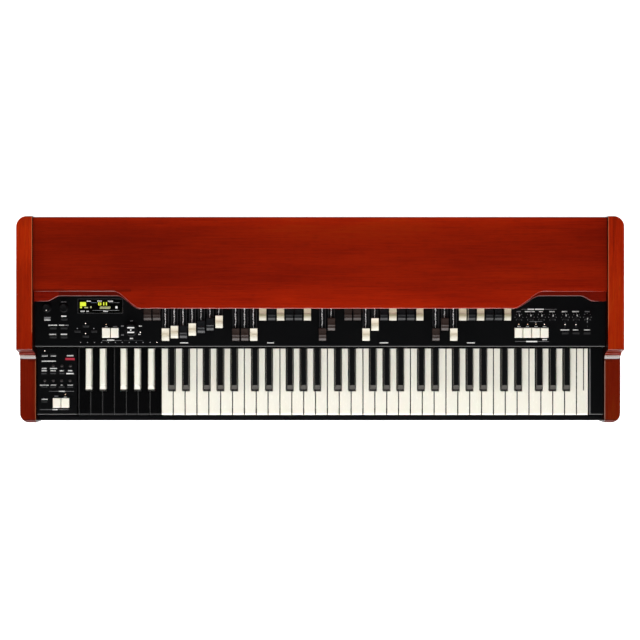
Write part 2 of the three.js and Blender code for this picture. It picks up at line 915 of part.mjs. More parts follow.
function keyboard() {
  const naturals = naturalComb(naturalsPerOctave);
  const topNaturals = naturalComb(naturalsPerOctave + 1);
  const sharps = sharpComb();
  const presets = groupOf(
    piece("preset_naturals", naturals, materials.black),
    piece("preset_sharps", sharps, materials.ivory),
  );
  presets.position.x = presetStartX;
  const octaves = Array.from({ length: playingOctaves }, (_, index) => {
    const isTop = index === playingOctaves - 1;
    const octave = groupOf(
      piece(`octave_${index + 1}_naturals`, isTop ? topNaturals : naturals, materials.ivory),
      piece(`octave_${index + 1}_sharps`, sharps, materials.black),
    );
    octave.position.x = playingStartX + index * octaveWidth;
    return octave;
  });
  return [presets, ...octaves];
}

// Pressed frame below the keys: front stop rail, floor sheet, hinge seat and rear wall
function keyFrame() {
  const wallY = pivotY + railRadius + fitGap;
  const seatZ = naturalAxisHeight - railRadius - fitGap;
  const wallTopZ = sharpAxisHeight + railRadius + wallTopMargin;
  const railY = keyFrontY + stopRailReach;
  const profile = [
    [railY, floorZ],
    [wallY + wallThickness, floorZ],
    [wallY + wallThickness, wallTopZ],
    [wallY, wallTopZ],
    [wallY, seatZ],
    [wallY - seatDepth, seatZ],
    [wallY - seatDepth, floorZ + frameSheet],
    [railY + stopRailDepth, floorZ + frameSheet],
    [railY + stopRailDepth, floorZ + stopRailHeight],
    [railY, floorZ + stopRailHeight],
  ];
  const solid = extrudeAcross(profile, leftBlockX + fitGap, rightBlockX - fitGap);
  return piece("key_frame", solid, materials.zinc);
}

function keySlip() {
  const topZ = floorZ + slipHeight;
  const shape = new THREE.Shape();
  shape.moveTo(slipFrontY, floorZ);
  shape.lineTo(slipBackY, floorZ);
  shape.absarc(slipBackY - slipEdge, topZ - slipEdge, slipEdge, 0, Math.PI / 2);
  shape.absarc(slipFrontY + slipEdge, topZ - slipEdge, slipEdge, Math.PI / 2, Math.PI);
  shape.closePath();
  const solid = extrudeAcross(shape, -fillX, fillX, smallArcFacets);
  return piece("key_slip", solid, materials.black);
}

// Blocks at the two ends of the keyboard: shells that are open below
const blockTopZ = keyTop + blockRise;
const blockFrontY = keyFrontY + blockFrontSetback;
const blockBackY = keyHeadBackY - blockFrontSetback;
const leftBlockWidth = leftBlockX + fillX;

function endBlock(x0, x1) {
  const shape = new THREE.Shape();
  shape.moveTo(blockFrontY, floorZ);
  shape.lineTo(blockBackY, floorZ);
  shape.lineTo(blockBackY, blockTopZ);
  shape.absarc(blockFrontY + blockEdge, blockTopZ - blockEdge, blockEdge, Math.PI / 2, Math.PI);
  shape.closePath();
  const hollow = block(
    [x0 + blockWall, x1 - blockWall],
    [blockFrontY + blockWall, blockBackY - blockWall],
    [floorZ - overrun, blockTopZ - blockWall],
  );
  return extrudeAcross(shape, x0, x1, smallArcFacets).subtract(hollow);
}

function buttonAt(x, y, surfaceZ, width) {
  return block(
    [x - width / 2, x + width / 2],
    [y - buttonDepth / 2, y + buttonDepth / 2],
    [surfaceZ - sink, surfaceZ + buttonRise],
  );
}

const blockTabX = -fillX + leftBlockWidth * blockTabCentreShare;
const blockTabY = blockFrontY + blockTabInset + tabLength;

function controlBlock() {
  const buttons = blockButtonShares.map(([across, along]) =>
    buttonAt(
      -fillX + across * leftBlockWidth,
      blockFrontY + along * (blockBackY - blockFrontY),
      blockTopZ,
      buttonWidth * blockButtonScaleShare,
    ),
  );
  const body = cut(endBlock(-fillX, leftBlockX), [tabHole(blockTabX, blockTabY, 2, blockTopZ)]);
  return piece("left_control_block", join([body, ...buttons]), materials.panel);
}

function keyBlocks() {
  const right = piece("right_key_block", endBlock(rightBlockX, fillX), materials.panel);
  return [controlBlock(), right];
}

// White tabs: each rocks about its rear edge in a window that its group shares
function tabHole(centreX, backEdgeY, count, surfaceZ) {
  const halfWidth = ((count - 1) * tabPitch + tabWidth) / 2 + fitGap;
  return block(
    [centreX - halfWidth, centreX + halfWidth],
    [backEdgeY - tabLength - fitGap, backEdgeY + fitGap],
    [surfaceZ - overrun, surfaceZ + overrun],
  );
}

function tabSolid() {
  const outline = [
    [-tabWidth / 2, -tabLength],
    [tabWidth / 2, -tabLength],
    [tabWidth / 2, 0],
    [-tabWidth / 2, 0],
  ];
  const geometry = new THREE.ExtrudeGeometry(shapeOf(outline), {
    depth: tabRise + tabRoot - 2 * tabEdge,
    bevelThickness: tabEdge,
    bevelSize: tabEdge,
    bevelOffset: -tabEdge,
    bevelSegments: 1,
  });
  geometry.translate(0, 0, tabEdge - tabRoot);
  return toSolid(geometry);
}

function tabRow(name, centreX, backEdgeY, count, surfaceZ) {
  const solid = tabSolid();
  return Array.from({ length: count }, (_, index) => {
    const x = centreX + (index - (count - 1) / 2) * tabPitch;
    return placed(piece(`${name}_${index + 1}`, solid, materials.white), x, backEdgeY, surfaceZ);
  });
}

const panelTabY = panelFrontY + panelTabInset + tabLength;

function tabs() {
  const onPanel = panelTabGroups.map(({ name, centreShare, count }) =>
    tabRow(name, centreShare * fillX, panelTabY, count, panelTopZ),
  );
  return [...onPanel.flat(), ...tabRow("rotor_tab", blockTabX, blockTabY, 2, blockTopZ)];
}

// Control panel: a folded sheet whose front lip ends in a toe over the keys
function panelPlace([across, along]) {
  return [across * fillX, panelFrontY + along * (lidNoseY - panelFrontY)];
}

function panelSheetSolid() {
  const lipBottomZ = panelTopZ - panelLip;
  const shape = new THREE.Shape();
  shape.moveTo(panelFrontY - panelToe, lipBottomZ);
  shape.lineTo(panelFrontY + panelSheet, lipBottomZ);
  shape.lineTo(panelFrontY + panelSheet, panelBottomZ);
  shape.lineTo(panelBackY, panelBottomZ);
  shape.lineTo(panelBackY, panelTopZ);
  shape.absarc(panelFrontY + panelEdge, panelTopZ - panelEdge, panelEdge, Math.PI / 2, Math.PI);
  shape.lineTo(panelFrontY, lipBottomZ + panelSheet);
  shape.lineTo(panelFrontY - panelToe, lipBottomZ + panelSheet);
  shape.closePath();
  return extrudeAcross(shape, -fillX, fillX, smallArcFacets);
}

function displayHole() {
  const [x, y] = panelPlace(displayPlaceShares);
  return block(
    [x - displayWidth / 2 - fitGap, x + displayWidth / 2 + fitGap],
    [y - displayDepth / 2 - fitGap, y + displayDepth / 2 + fitGap],
    [panelBottomZ - overrun, panelTopZ + overrun],
  );
}

function displayWindow() {
  const [x, y] = panelPlace(displayPlaceShares);
  const solid = block(
    [x - displayWidth / 2, x + displayWidth / 2],
    [y - displayDepth / 2, y + displayDepth / 2],
    [panelBottomZ, panelTopZ + displayRise],
  );
  return piece("display_window", solid, materials.glass);
}

function shaftHole(placeShares) {
  const [x, y] = panelPlace(placeShares);
  const radius = shaftRadius + runningGap;
  return upright(radius, radius, x, y, [panelBottomZ - overrun, panelTopZ + overrun], boreFacets);
}

function trimmer(placeShares) {
  const [x, y] = panelPlace(placeShares);
  const span = [panelTopZ - sink, panelTopZ + trimmerHeight];
  return upright(trimmerRadius, trimmerRadius - trimmerTaper, x, y, span, trimmerFacets);
}

function controlPanel() {
  const knobPlaces = [dialPlaceShares.volume, dialPlaceShares.value, selectorPlaceShares];
  const tabHoles = panelTabGroups.map(({ centreShare, count }) =>
    tabHole(centreShare * fillX, panelTabY, count, panelTopZ),
  );
  const holes = [displayHole(), ...tabHoles, ...knobPlaces.map(shaftHole)];
  const wideButtons = panelButtonShares.map((shares) =>
    buttonAt(...panelPlace(shares), panelTopZ, buttonWidth),
  );
  const cursorButtons = cursorButtonShares.map((shares) =>
    buttonAt(...panelPlace(shares), panelTopZ, buttonWidth * cursorWidthShare),
  );
  const bosses = [...trimmerPlaceShares.map(trimmer), ...wideButtons, ...cursorButtons];
  const solid = join([cut(panelSheetSolid(), holes), ...bosses]);
  return piece("control_panel", solid, materials.panel);
}

// Knob with a shaft that runs through the panel
function knob(name, placeShares, radius, height) {
  const [x, y] = panelPlace(placeShares);
  const profile = [
    [0, -shaftLength],
    [shaftRadius, -shaftLength],
    [shaftRadius, runningGap],
    [radius, runningGap],
    [radius - knobTaper, height - knobEdge],
    [radius - knobTaper - knobEdge, height],
    [0, height],
  ];
  return placed(piece(name, turned(profile, knobFacets), materials.black), x, y, panelTopZ);
}

function knobs() {
  return [
    knob("volume_knob", dialPlaceShares.volume, dialRadius, dialHeight),
    knob("value_knob", dialPlaceShares.value, dialRadius, dialHeight),
    knob("vibrato_knob", selectorPlaceShares, selectorRadius, selectorHeight),
  ];
}

// Drawbars
// One drawbar at its pushed-in place: a dished cap on a flat stem that runs back into the frame
function drawbarSolid() {
  const top = capTopShares.map(([along, up]) => [
    capBackY - along * capLength,
    capBottomZ + up * capHeight,
  ]);
  const profile = [
    [capFrontY, capBottomZ],
    [capBackY, capBottomZ],
    ...top,
    [capFrontY, capBottomZ + capHeight / 2],
  ];
  const cap = extrudeAcross(profile, -capWidth / 2, capWidth / 2);
  const stem = block(
    [-stemWidth / 2, stemWidth / 2],
    [capBackY - sink, capBackY + stemLength],
    [stemBottomZ, stemBottomZ + stemThickness],
  );
  return cap.add(stem);
}

function eachBar(visit) {
  return barSets.flatMap((set) =>
    set.steps.flatMap((step, index) => visit(set, step, index)),
  );
}

function drawnBars(solid) {
  return eachBar((set, step, index) => {
    if (step === 0) return [];
    const name = `drawbar_${set.name}_${index + 1}`;
    const mesh = piece(name, solid, materials[setColours[index]]);
    return [placed(mesh, barX(set, index), -step * barStep, 0)];
  });
}

// Guide frame under the lid: two comb walls on a base strip. The bars that stand fully in are
// part of it, and the others slide in its notches
function guideFrame(solid) {
  const xRange = [bankLeftX - guideEndMargin, bankRightX + noseMarginRight / 2];
  const backWallY = guideY + guideDepth;
  const topZ = panelTopZ + guideHeight;
  const base = block(xRange, [guideY, backWallY], [panelTopZ, panelTopZ + guideSheet]);
  const walls = [guideY, backWallY - guideWall].map((y) =>
    block(xRange, [y, y + guideWall], [panelTopZ, topZ]),
  );
  const notches = eachBar((set, step, index) => {
    if (step === 0) return [];
    const x = barX(set, index);
    const halfWidth = stemWidth / 2 + runningGap;
    return [
      block(
        [x - halfWidth, x + halfWidth],
        [guideY - overrun, backWallY + overrun],
        [stemBottomZ - runningGap, topZ + overrun],
      ),
    ];
  });
  const restingBars = eachBar((set, step, index) =>
    step === 0 ? [solid.translate([barX(set, index), 0, 0])] : [],
  );
  const frame = cut(join([base, ...walls]), notches);
  return piece("drawbar_frame", join([frame, ...restingBars]), materials.black);
}

function drawbars() {
  const solid = drawbarSolid();
  return [guideFrame(solid), ...drawnBars(solid)];
}

const organ = groupOf(
  groupOf(chassis(), feet(), rearPanel(), powerSwitch(), mainBoard()),
  groupOf(cheeks(), lidParts()),
  groupOf(keyFrame(), keySlip(), keyBlocks(), keyboard()),
  groupOf(controlPanel(), displayWindow(), knobs(), tabs()),
  groupOf(drawbars()),
);

export default organ;
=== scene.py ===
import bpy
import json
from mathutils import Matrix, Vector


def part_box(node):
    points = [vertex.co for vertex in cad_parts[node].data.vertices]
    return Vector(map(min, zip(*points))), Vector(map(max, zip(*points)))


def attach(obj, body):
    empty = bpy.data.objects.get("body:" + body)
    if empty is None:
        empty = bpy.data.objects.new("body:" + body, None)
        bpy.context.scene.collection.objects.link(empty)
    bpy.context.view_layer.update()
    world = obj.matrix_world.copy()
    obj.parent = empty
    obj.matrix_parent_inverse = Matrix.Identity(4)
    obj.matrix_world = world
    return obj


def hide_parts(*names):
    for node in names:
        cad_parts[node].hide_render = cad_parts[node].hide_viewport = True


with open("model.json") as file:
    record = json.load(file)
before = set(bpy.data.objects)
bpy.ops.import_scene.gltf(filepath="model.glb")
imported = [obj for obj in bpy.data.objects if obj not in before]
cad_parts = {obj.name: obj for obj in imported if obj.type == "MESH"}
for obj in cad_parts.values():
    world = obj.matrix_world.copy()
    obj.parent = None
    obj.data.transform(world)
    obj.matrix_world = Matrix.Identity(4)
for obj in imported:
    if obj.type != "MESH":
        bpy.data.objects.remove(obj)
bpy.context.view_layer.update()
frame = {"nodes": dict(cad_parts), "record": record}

import fnmatch
import functools
import json
import math
import random

import bmesh
import bpy
from mathutils import Matrix, Vector

MM = 0.001
ROOT = "console"

# Camera straight above the organ
PHOTO_SIDE = 640
SENSOR = 36
LENS = 110
CAMERA_HEIGHT = 3.95
CAMERA_X = -0.3 * MM
FOCAL_PIXELS = LENS / SENSOR * PHOTO_SIDE

# World light: fill for diffuse rays, and a gradient for glossy rays from the horizon upwards
WORLD_FILL = 0.16
SKY = [(0.0, 0.10), (0.11, 0.12), (0.19, 0.68), (0.4, 0.42), (0.6, 0.13), (0.8, 0.005)]
FLOOR_SIDE = 60
FLOOR_COLOUR = 0.8
FLOOR_GLOW = 0.9

# Softboxes: name, azimuth from the front, elevation, radiance, size, and the rays that see them
LAMP_DISTANCE = 3.4
BOTH = ("diffuse", "glossy")
SHINE = ("glossy",)
FILL = ("diffuse",)
SOFTBOXES = [
    ("low_softbox", 0, 15, 5.4, (2.8, 0.9), BOTH),
    ("middle_softbox", 0, 35, 6.3, (2.6, 1.1), BOTH),
    ("high_softbox", 0, 54, 5.4, (2.2, 0.9), BOTH),
    ("overhead_softbox", 0, 90, 2.7, (2.4, 1.2), FILL),
    ("front_right_softbox", 44, 26, 5.0, (1.8, 1.0), SHINE),
    ("front_left_softbox", -44, 26, 5.0, (1.8, 1.0), SHINE),
    ("right_softbox", 90, 14, 6.0, (2.0, 0.7), FILL),
    ("left_softbox", -90, 14, 6.0, (2.0, 0.7), FILL),
]

# Heights of the faces that carry small pieces
PANEL_TOP = 97 * MM
BLOCK_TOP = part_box("right_key_block")[1].z
STEM_TOP = 103 * MM
DISPLAY_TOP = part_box("display_window")[1].z
PRINT_RISE = 0.12 * MM

# Drawbar bank: sets by a bar of their own, and how many steps each bar is drawn out
BAR_PITCH = 17.55 * MM
BAR_STEP = 5 * MM
CAP_LENGTH = 24.8 * MM
STEM_LENGTH = 96 * MM
CAP_SHARE = CAP_LENGTH / (CAP_LENGTH + STEM_LENGTH)
BAR_SETS = [
    ("drawbar_upper_a_3", [0, 0, 8, 7, 7, 6, 5, 4, 3]),
    ("drawbar_upper_b_1", [8, 8, 8, 0, 0, 0, 0, 0, 0]),
    ("drawbar_pedal_1", [8, 4]),
    ("drawbar_lower_a_3", [0, 0, 8, 4, 0, 0, 0, 0, 0]),
    ("drawbar_lower_b_1", [8, 4, 8, 0, 0, 0, 0, 0, 0]),
]
SET_COLOURS = ["brown", "brown", "white", "white", "black", "white", "black", "black", "white"]


def from_photo(px, py, height):
    """Place in metres, at a height, of a pixel of the 640 pixel photograph."""
    scale = (CAMERA_HEIGHT - height) / FOCAL_PIXELS
    return CAMERA_X + (px - PHOTO_SIDE / 2) * scale, (PHOTO_SIDE / 2 - py) * scale


def middle_of(node):
    low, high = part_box(node)
    return (low.x + high.x) / 2, (low.y + high.y) / 2


def tinted(colour, factor):
    return tuple(channel * factor for channel in colour)


class Shade:
    """Node tree with short ways to add and join nodes."""

    def __init__(self, tree):
        self.tree = tree

    def feed(self, socket, value):
        """Joins an input to another node, or sets it to a number, a vector or a colour."""
        if isinstance(value, bpy.types.NodeSocket):
            self.tree.links.new(value, socket)
        elif socket.type == "RGBA":
            socket.default_value = (*value, 1)
        else:
            socket.default_value = value

    def node(self, kind, inputs=None, **settings):
        made = self.tree.nodes.new(kind)
        for key, value in settings.items():
            setattr(made, key, value)
        for key, value in (inputs or {}).items():
            self.feed(made.inputs[key], value)
        return made

    def math(self, operation, *operands):
        return self.node("ShaderNodeMath", dict(enumerate(operands)), operation=operation).outputs[0]

    def combine(self, operation, sockets):
        return functools.reduce(functools.partial(self.math, operation), sockets)

    def coordinate(self, kind, axis):
        source = self.node("ShaderNodeTexCoord").outputs[kind]
        return self.node("ShaderNodeSeparateXYZ", {"Vector": source}).outputs[axis]

    def stretched(self, scale):
        """Object coordinates times a scale along each axis."""
        source = self.node("ShaderNodeTexCoord").outputs["Object"]
        return self.node("ShaderNodeMapping", {"Vector": source, "Scale": scale}).outputs["Vector"]

    def noise(self, scale, stretch=(1, 1, 1), detail=3, distortion=0, roughness=0.55):
        inputs = {"Vector": self.stretched(stretch), "Scale": scale, "Detail": detail}
        inputs.update({"Distortion": distortion, "Roughness": roughness})
        return self.node("ShaderNodeTexNoise", inputs).outputs["Fac"]

    def grain(self, along, across, length, **settings):
        """Noise with one factor on the coordinate along an axis and another on the two across it."""
        stretch = tuple(length if axis == along else across for axis in range(3))
        return self.noise(stretch=stretch, **settings)

    def grid(self, scale, gap, tones, gap_tone):
        """Brick pattern of two tones, with gaps in a third."""
        inputs = {"Vector": self.stretched((1, 1, 1)), "Scale": scale, "Mortar Size": gap}
        inputs.update({"Color1": tones[0], "Color2": tones[1], "Mortar": gap_tone})
        return self.node("ShaderNodeTexBrick", inputs).outputs

    def ramp(self, factor, stops, interpolation="LINEAR"):
        """Colours along a factor: stops of a place and a colour or a grey."""
        made = self.node("ShaderNodeValToRGB", {"Fac": factor})
        band = made.color_ramp
        band.interpolation = interpolation
        while len(band.elements) < len(stops):
            band.elements.new(1)
        for element, (place, colour) in zip(band.elements, stops):
            element.position = place
            element.color = (*colour, 1) if isinstance(colour, tuple) else (colour, colour, colour, 1)
        return made.outputs["Color"]

    def blend(self, factor, first, second, mode="MIX"):
        inputs = {"Factor": factor, 6: first, 7: second}
        return self.node("ShaderNodeMix", inputs, data_type="RGBA", blend_type=mode).outputs[2]

    def between(self, socket, low, high):
        """1 where a value lies between two limits, else 0."""
        above = self.math("GREATER_THAN", socket, low)
        return self.math("MULTIPLY", above, self.math("LESS_THAN", socket, high))

    def inside(self, zone, weight=1.0):
        """A weight inside a zone, else 0. A zone has two limits in millimetres along some axes and
        along OUT, the distance from the middle plane. UP is the upward part of the normal."""
        held = []
        for axis, limits in zone.items():
            if axis == "UP":
                held.append(self.between(self.upward(), *limits))
                continue
            value = self.coordinate("Object", "X" if axis == "OUT" else axis)
            if axis == "OUT":
                value = self.math("ABSOLUTE", value)
            held.append(self.between(value, limits[0] * MM, limits[1] * MM))
        return self.math("MULTIPLY", self.combine("MULTIPLY", held), weight)

    def spread(self, socket, low, high):
        """Share of the way between two limits, held between 0 and 1."""
        inputs = {"Value": socket, "From Min": low, "From Max": high}
        return self.node("ShaderNodeMapRange", inputs).outputs["Result"]

    def past_pitch(self, pitch):
        """Distance from the last whole pitch, counted from the left end of the keys."""
        distance = self.math("SUBTRACT", self.coordinate("Object", "X"), KEYS_START)
        return self.math("MULTIPLY", self.math("FRACT", self.math("DIVIDE", distance, pitch)), pitch)

    def seams(self, left, right):
        """1 within a reach to the left and right of the joints between naturals, else 0."""
        place = self.past_pitch(NATURAL_PITCH)
        before = self.math("GREATER_THAN", place, NATURAL_PITCH - left)
        return self.math("MAXIMUM", before, self.math("LESS_THAN", place, right))

    def sharp_shadows(self):
        """1 in a narrow band at the left of each sharp, else 0."""
        place = self.past_pitch(OCTAVE)
        return self.combine("ADD", [self.between(place, left - SHADOW_WIDTH, left) for left in SHARP_LEFTS])

    def upward(self):
        return self.coordinate("Normal", "Z")

    def roundness(self):
        """0 on upright and on level faces, 1 on sloping faces and rounded edges."""
        tilt = self.math("ABSOLUTE", self.upward())
        off_level = self.math("SUBTRACT", 1.0, self.spread(tilt, *LEVEL_TILT))
        return self.math("MULTIPLY", off_level, self.spread(tilt, *UPRIGHT_TILT))

    def is_ray(self, *kinds):
        """1 for rays of these kinds, else 0."""
        rays = self.node("ShaderNodeLightPath").outputs
        return self.combine("MAXIMUM", [rays["Is " + kind + " Ray"] for kind in kinds])


class Surface(Shade):
    """Shader of a new material."""

    def __init__(self, name, roughness, colour=(0.5, 0.5, 0.5), **constants):
        self.material = bpy.data.materials.new(name)
        self.material.use_nodes = True
        super().__init__(self.material.node_tree)
        self.set(Base_Color=colour, Roughness=roughness, **constants)

    def set(self, **inputs):
        """Sets or joins inputs of the shader."""
        for key, value in inputs.items():
            self.feed(self.tree.nodes["Principled BSDF"].inputs[key.replace("_", " ")], value)

    def cover(self, colour, noise, swing, level):
        """Gives a colour, and a roughness that swings with a noise above a level."""
        self.set(Base_Color=colour, Roughness=self.math("MULTIPLY_ADD", noise, swing, level))

    def bump(self, height, strength, depth):
        """Gives a bump of a depth in millimetres."""
        inputs = {"Height": height, "Strength": strength, "Distance": depth * MM}
        self.set(Normal=self.node("ShaderNodeBump", inputs).outputs["Normal"])


# Camera, light and floor
def link(thing):
    bpy.context.scene.collection.objects.link(thing)


def make_camera():
    data = bpy.data.cameras.new("camera")
    data.lens = LENS
    data.sensor_width = SENSOR
    camera = bpy.data.objects.new("camera", data)
    camera.location = (CAMERA_X, 0, CAMERA_HEIGHT)
    link(camera)
    bpy.context.scene.camera = camera


def make_softbox(name, azimuth, elevation, radiance, size, rays):
    data = bpy.data.lights.new(name, "AREA")
    data.shape = "RECTANGLE"
    data.size, data.size_y = size
    data.energy = radiance * math.pi * data.size * data.size_y
    lamp = bpy.data.objects.new(name, data)
    turn = math.radians(azimuth)
    rise = math.radians(elevation)
    ahead = LAMP_DISTANCE * math.cos(rise)
    lamp.location = (ahead * math.sin(turn), -ahead * math.cos(turn), LAMP_DISTANCE * math.sin(rise))
    lamp.rotation_euler = (math.pi / 2 - rise, 0, turn)
    lamp.visible_camera = False
    lamp.visible_diffuse = "diffuse" in rays
    lamp.visible_glossy = "glossy" in rays
    link(lamp)


def make_world():
    world = bpy.data.worlds.new("studio")
    bpy.context.scene.world = world
    world.use_nodes = True
    shade = Shade(world.node_tree)
    sky = shade.math("SUBTRACT", shade.ramp(shade.coordinate("Generated", "Z"), SKY), WORLD_FILL)
    white = shade.math("MULTIPLY", shade.is_ray("Camera", "Transmission"), 1 - WORLD_FILL)
    shine = shade.math("MULTIPLY", shade.is_ray("Glossy"), sky)
    background = world.node_tree.nodes["Background"].inputs
    shade.feed(background["Color"], (1, 1, 1))
    shade.feed(background["Strength"], shade.combine("ADD", [white, shine, WORLD_FILL]))


def make_floor():
    mesh = bpy.data.meshes.new("floor")
    half = FLOOR_SIDE / 2
    corners = [(-half, -half, 0), (half, -half, 0), (half, half, 0), (-half, half, 0)]
    mesh.from_pydata(corners, [], [(0, 1, 2, 3)])
    floor = bpy.data.objects.new("floor", mesh)
    link(floor)
    shade = Surface("floor_white", 0.9, (FLOOR_COLOUR,) * 3, Emission_Color=(1, 1, 1))
    seen = shade.is_ray("Camera", "Glossy", "Transmission")
    shade.set(Emission_Strength=shade.math("MULTIPLY", seen, FLOOR_GLOW))
    mesh.materials.append(shade.material)


# Noises that more than one material uses, or that are drawn out along the axes
MOULD_CLOUD = {"scale": 2.0, "stretch": (120, 60, 120), "detail": 4}
PALE_CLOUD = {"scale": 1.0, "stretch": (40, 9, 40)}
PALE_WEAR = {"scale": 4.0, "stretch": (90, 25, 90), "detail": 4}
FELT_NAP = {"scale": 3.0, "stretch": (400, 900, 900), "detail": 4}
WOOD_CLOUD = {"scale": 2.0, "stretch": (1.3, 2.2, 2.2), "detail": 1}
WOOD_FIGURE = {"across": 9, "length": 1.4, "scale": 3.0, "detail": 4, "distortion": 0.6}
WOOD_STREAKS = {"across": 75, "length": 1.8, "scale": 6.0, "detail": 5, "roughness": 0.7}
WOOD_PORES = {"across": 220, "length": 7, "scale": 8.0, "detail": 2}
BRUSHING = {"across": 300, "length": 4, "scale": 3.0, "detail": 4}

# Keys
KEY_SPECULAR = 0.12
KEYS_START = -480.12 * MM
OCTAVE = 165 * MM
NATURAL_PITCH = OCTAVE / 7
# Reach of the painted highlight along the edges of the preset naturals
KEY_EDGE_HIGHLIGHT_REACH = (1.4 * MM, 1.4 * MM)
# Seams between the naturals: dark joints, with painted shade reaching further to their left
SEAM_REACH = (1.6 * MM, 0.65 * MM)
SEAM_DEPTH = 0.88
SHARP_LEFTS = [14.72 * MM, 42.65 * MM, 83.83 * MM, 111.0 * MM, 138.47 * MM]
SHADOW_WIDTH = 2.3 * MM
SHADOW_DEPTH = 0.85
BESIDE_SHARPS = {"Y": (-140, -56), "Z": (60, 66)}
SHARP_SLOPE = {"Y": (-137.5, -129.2), "Z": (64, 76)}
SHARP_FOOT = {"Y": (-142, -137.5)}

# Limits of the upward part of a normal: where a face is nearly level, where it is nearly upright,
# and where it lies or stands
LEVEL_TILT = (0.985, 0.999)
UPRIGHT_TILT = (0.05, 0.2)
LYING = (0.3, 1.1)
STANDING = (-1.1, 0.3)

# Varnish on rounded edges and on flat faces
EDGE_VARNISH = 0.95
FLAT_VARNISH = 0.2
WOOD_TONES = (0.58, 0.80, 0.98)
PORE_STOPS = [(0.34, 0.72), (0.46, 1.0)]
FIGURE_WEIGHT = 0.45
STREAK_WEIGHT = 0.6
CLOUD_WEIGHT = 0.4

# Painted shade in broad ramps over the wood: axis, limits in millimetres, and tone along them
LID_SHADE_RAMPS = [
    (
        "Y",
        (22, 200),
        [(0.04, 0.98), (0.12, 0.95), (0.21, 0.85), (0.32, 0.75), (0.78, 0.69), (0.9, 0.74), (0.98, 0.92)],
    ),
    ("X", (-562, 562), [(0.0, 0.82), (0.22, 0.9), (0.45, 1.0), (0.85, 1.0), (1.0, 0.93)]),
]
CHEEK_SHADE_RAMPS = [
    ("Y", (-57, 200), [(0.0, 0.80), (0.4, 0.86), (0.6, 0.88), (0.72, 1.0), (0.92, 1.0), (1.0, 0.9)]),
]

# Zones of the cheeks, in millimetres
CHEEK_INNER = 562.2
INNER_EDGE = (CHEEK_INNER, CHEEK_INNER + 2)
ARM = (-200, -80)
CREST = (120, 130)
ARM_HEIGHTS = (0, 88)
STEP_HEIGHTS = (80, 130)
STEP_SLOPE = {"Y": (-68.9, -56.2), "Z": STEP_HEIGHTS}
COVE = {"Y": (-77.2, -68.9), "Z": STEP_HEIGHTS}
COVE_BACK = {"Y": (-72.6, -69.8), "Z": STEP_HEIGHTS}
ARM_FRONT = {"Y": (-206, -196)}

# Painted light and shade on the wood: zone, colour and weight
# Black of painted shade, used on the wood and on the keys
SHADE_BLACK = (0.0, 0.0, 0.0)
# Colours of painted highlights on the cheeks' edges and in the cove
INNER_EDGE_HIGHLIGHT = (0.62, 0.20, 0.08)
ARM_EDGE_HIGHLIGHT = (0.80, 0.52, 0.44)
COVE_HIGHLIGHT = (0.50, 0.40, 0.35)
# Painted shade on the lid: beside the cheeks, at its front left, and in a narrow strip at the left
LID_PAINTED_SHADE = [
    ({"OUT": (557, 563)}, SHADE_BLACK, 0.20),
    ({"OUT": (551, 557)}, SHADE_BLACK, 0.05),
    ({"X": (-563, -500), "Y": (22, 62)}, SHADE_BLACK, 0.13),
    ({"X": (-562, -370), "Y": (55.5, 60)}, SHADE_BLACK, 0.35),
]
# Painted shade on the fascia, over most of its length and less at its right end
FASCIA_PAINTED_SHADE = [({"X": (-513, 529)}, SHADE_BLACK, 0.42), ({"X": (529, 563)}, SHADE_BLACK, 0.28)]
# Painted light and shade on the cheeks: highlights along the inner top edges and in the cove; shade on the
# outer edges, the arms, the upright faces, the step, the cove and its foot, and the arms' front
CHEEK_PAINTED_LIGHT = [
    ({"UP": LYING, "OUT": INNER_EDGE, "Z": (128, 130)}, INNER_EDGE_HIGHLIGHT, 0.42),
    ({"UP": LYING, "OUT": INNER_EDGE, "Y": ARM}, INNER_EDGE_HIGHLIGHT, 0.75),
    ({"UP": LYING, "X": INNER_EDGE, "Y": ARM}, ARM_EDGE_HIGHLIGHT, 0.55),
    ({"UP": LYING, "X": (572, 600), "Z": CREST}, SHADE_BLACK, 0.22),
    ({"UP": LYING, "OUT": (588, 600), "Z": CREST}, SHADE_BLACK, 0.22),
    ({"UP": LYING, "OUT": (583, 588), "Z": CREST}, SHADE_BLACK, 0.10),
    ({"UP": LYING, "Z": ARM_HEIGHTS}, SHADE_BLACK, 0.46),
    ({"UP": LYING, "X": (500, 600), "Z": ARM_HEIGHTS}, SHADE_BLACK, 0.20),
    ({"UP": LYING, "OUT": (CHEEK_INNER, 570), "Z": ARM_HEIGHTS}, SHADE_BLACK, 0.14),
    ({"UP": STANDING}, SHADE_BLACK, 0.36),
    ({"Y": (-56.2, -50.5), "Z": CREST}, SHADE_BLACK, 0.35),
    (STEP_SLOPE, SHADE_BLACK, 0.40),
    (COVE, SHADE_BLACK, 0.75),
    (COVE_BACK, COVE_HIGHLIGHT, 0.60),
    ({"Y": (-82, -77.2), "Z": (80, 92)}, SHADE_BLACK, 0.30),
    (ARM_FRONT, SHADE_BLACK, 0.30),
    ({"UP": STANDING, "OUT": (560, CHEEK_INNER + 1)}, SHADE_BLACK, 0.93),
]

# Woods: axis of the grain, colours from dark to pale, ramps and zones of painted light and shade, dull zones
# of varnish
WOODS = {
    "lid_wood": {
        "along": 0,
        "colours": [(0.250, 0.0072, 0.0002), (0.380, 0.0145, 0.0004), (0.400, 0.0260, 0.0008)],
        "shade_ramps": LID_SHADE_RAMPS,
        "painted_light": LID_PAINTED_SHADE,
    },
    "fascia_wood": {
        "along": 0,
        "colours": [(0.145, 0.0038, 0.0002), (0.220, 0.0072, 0.0004), (0.220, 0.0072, 0.0004)],
        "painted_light": FASCIA_PAINTED_SHADE,
    },
    "cheek_wood": {
        "along": 1,
        "colours": [(0.290, 0.0105, 0.0004), (0.430, 0.0220, 0.0009), (0.470, 0.0560, 0.0016)],
        "shade_ramps": CHEEK_SHADE_RAMPS,
        "painted_light": CHEEK_PAINTED_LIGHT,
        "dull": [(STEP_SLOPE, 0.75), (ARM_FRONT, 0.85)],
        "coat_ior": 1.85,
    },
}
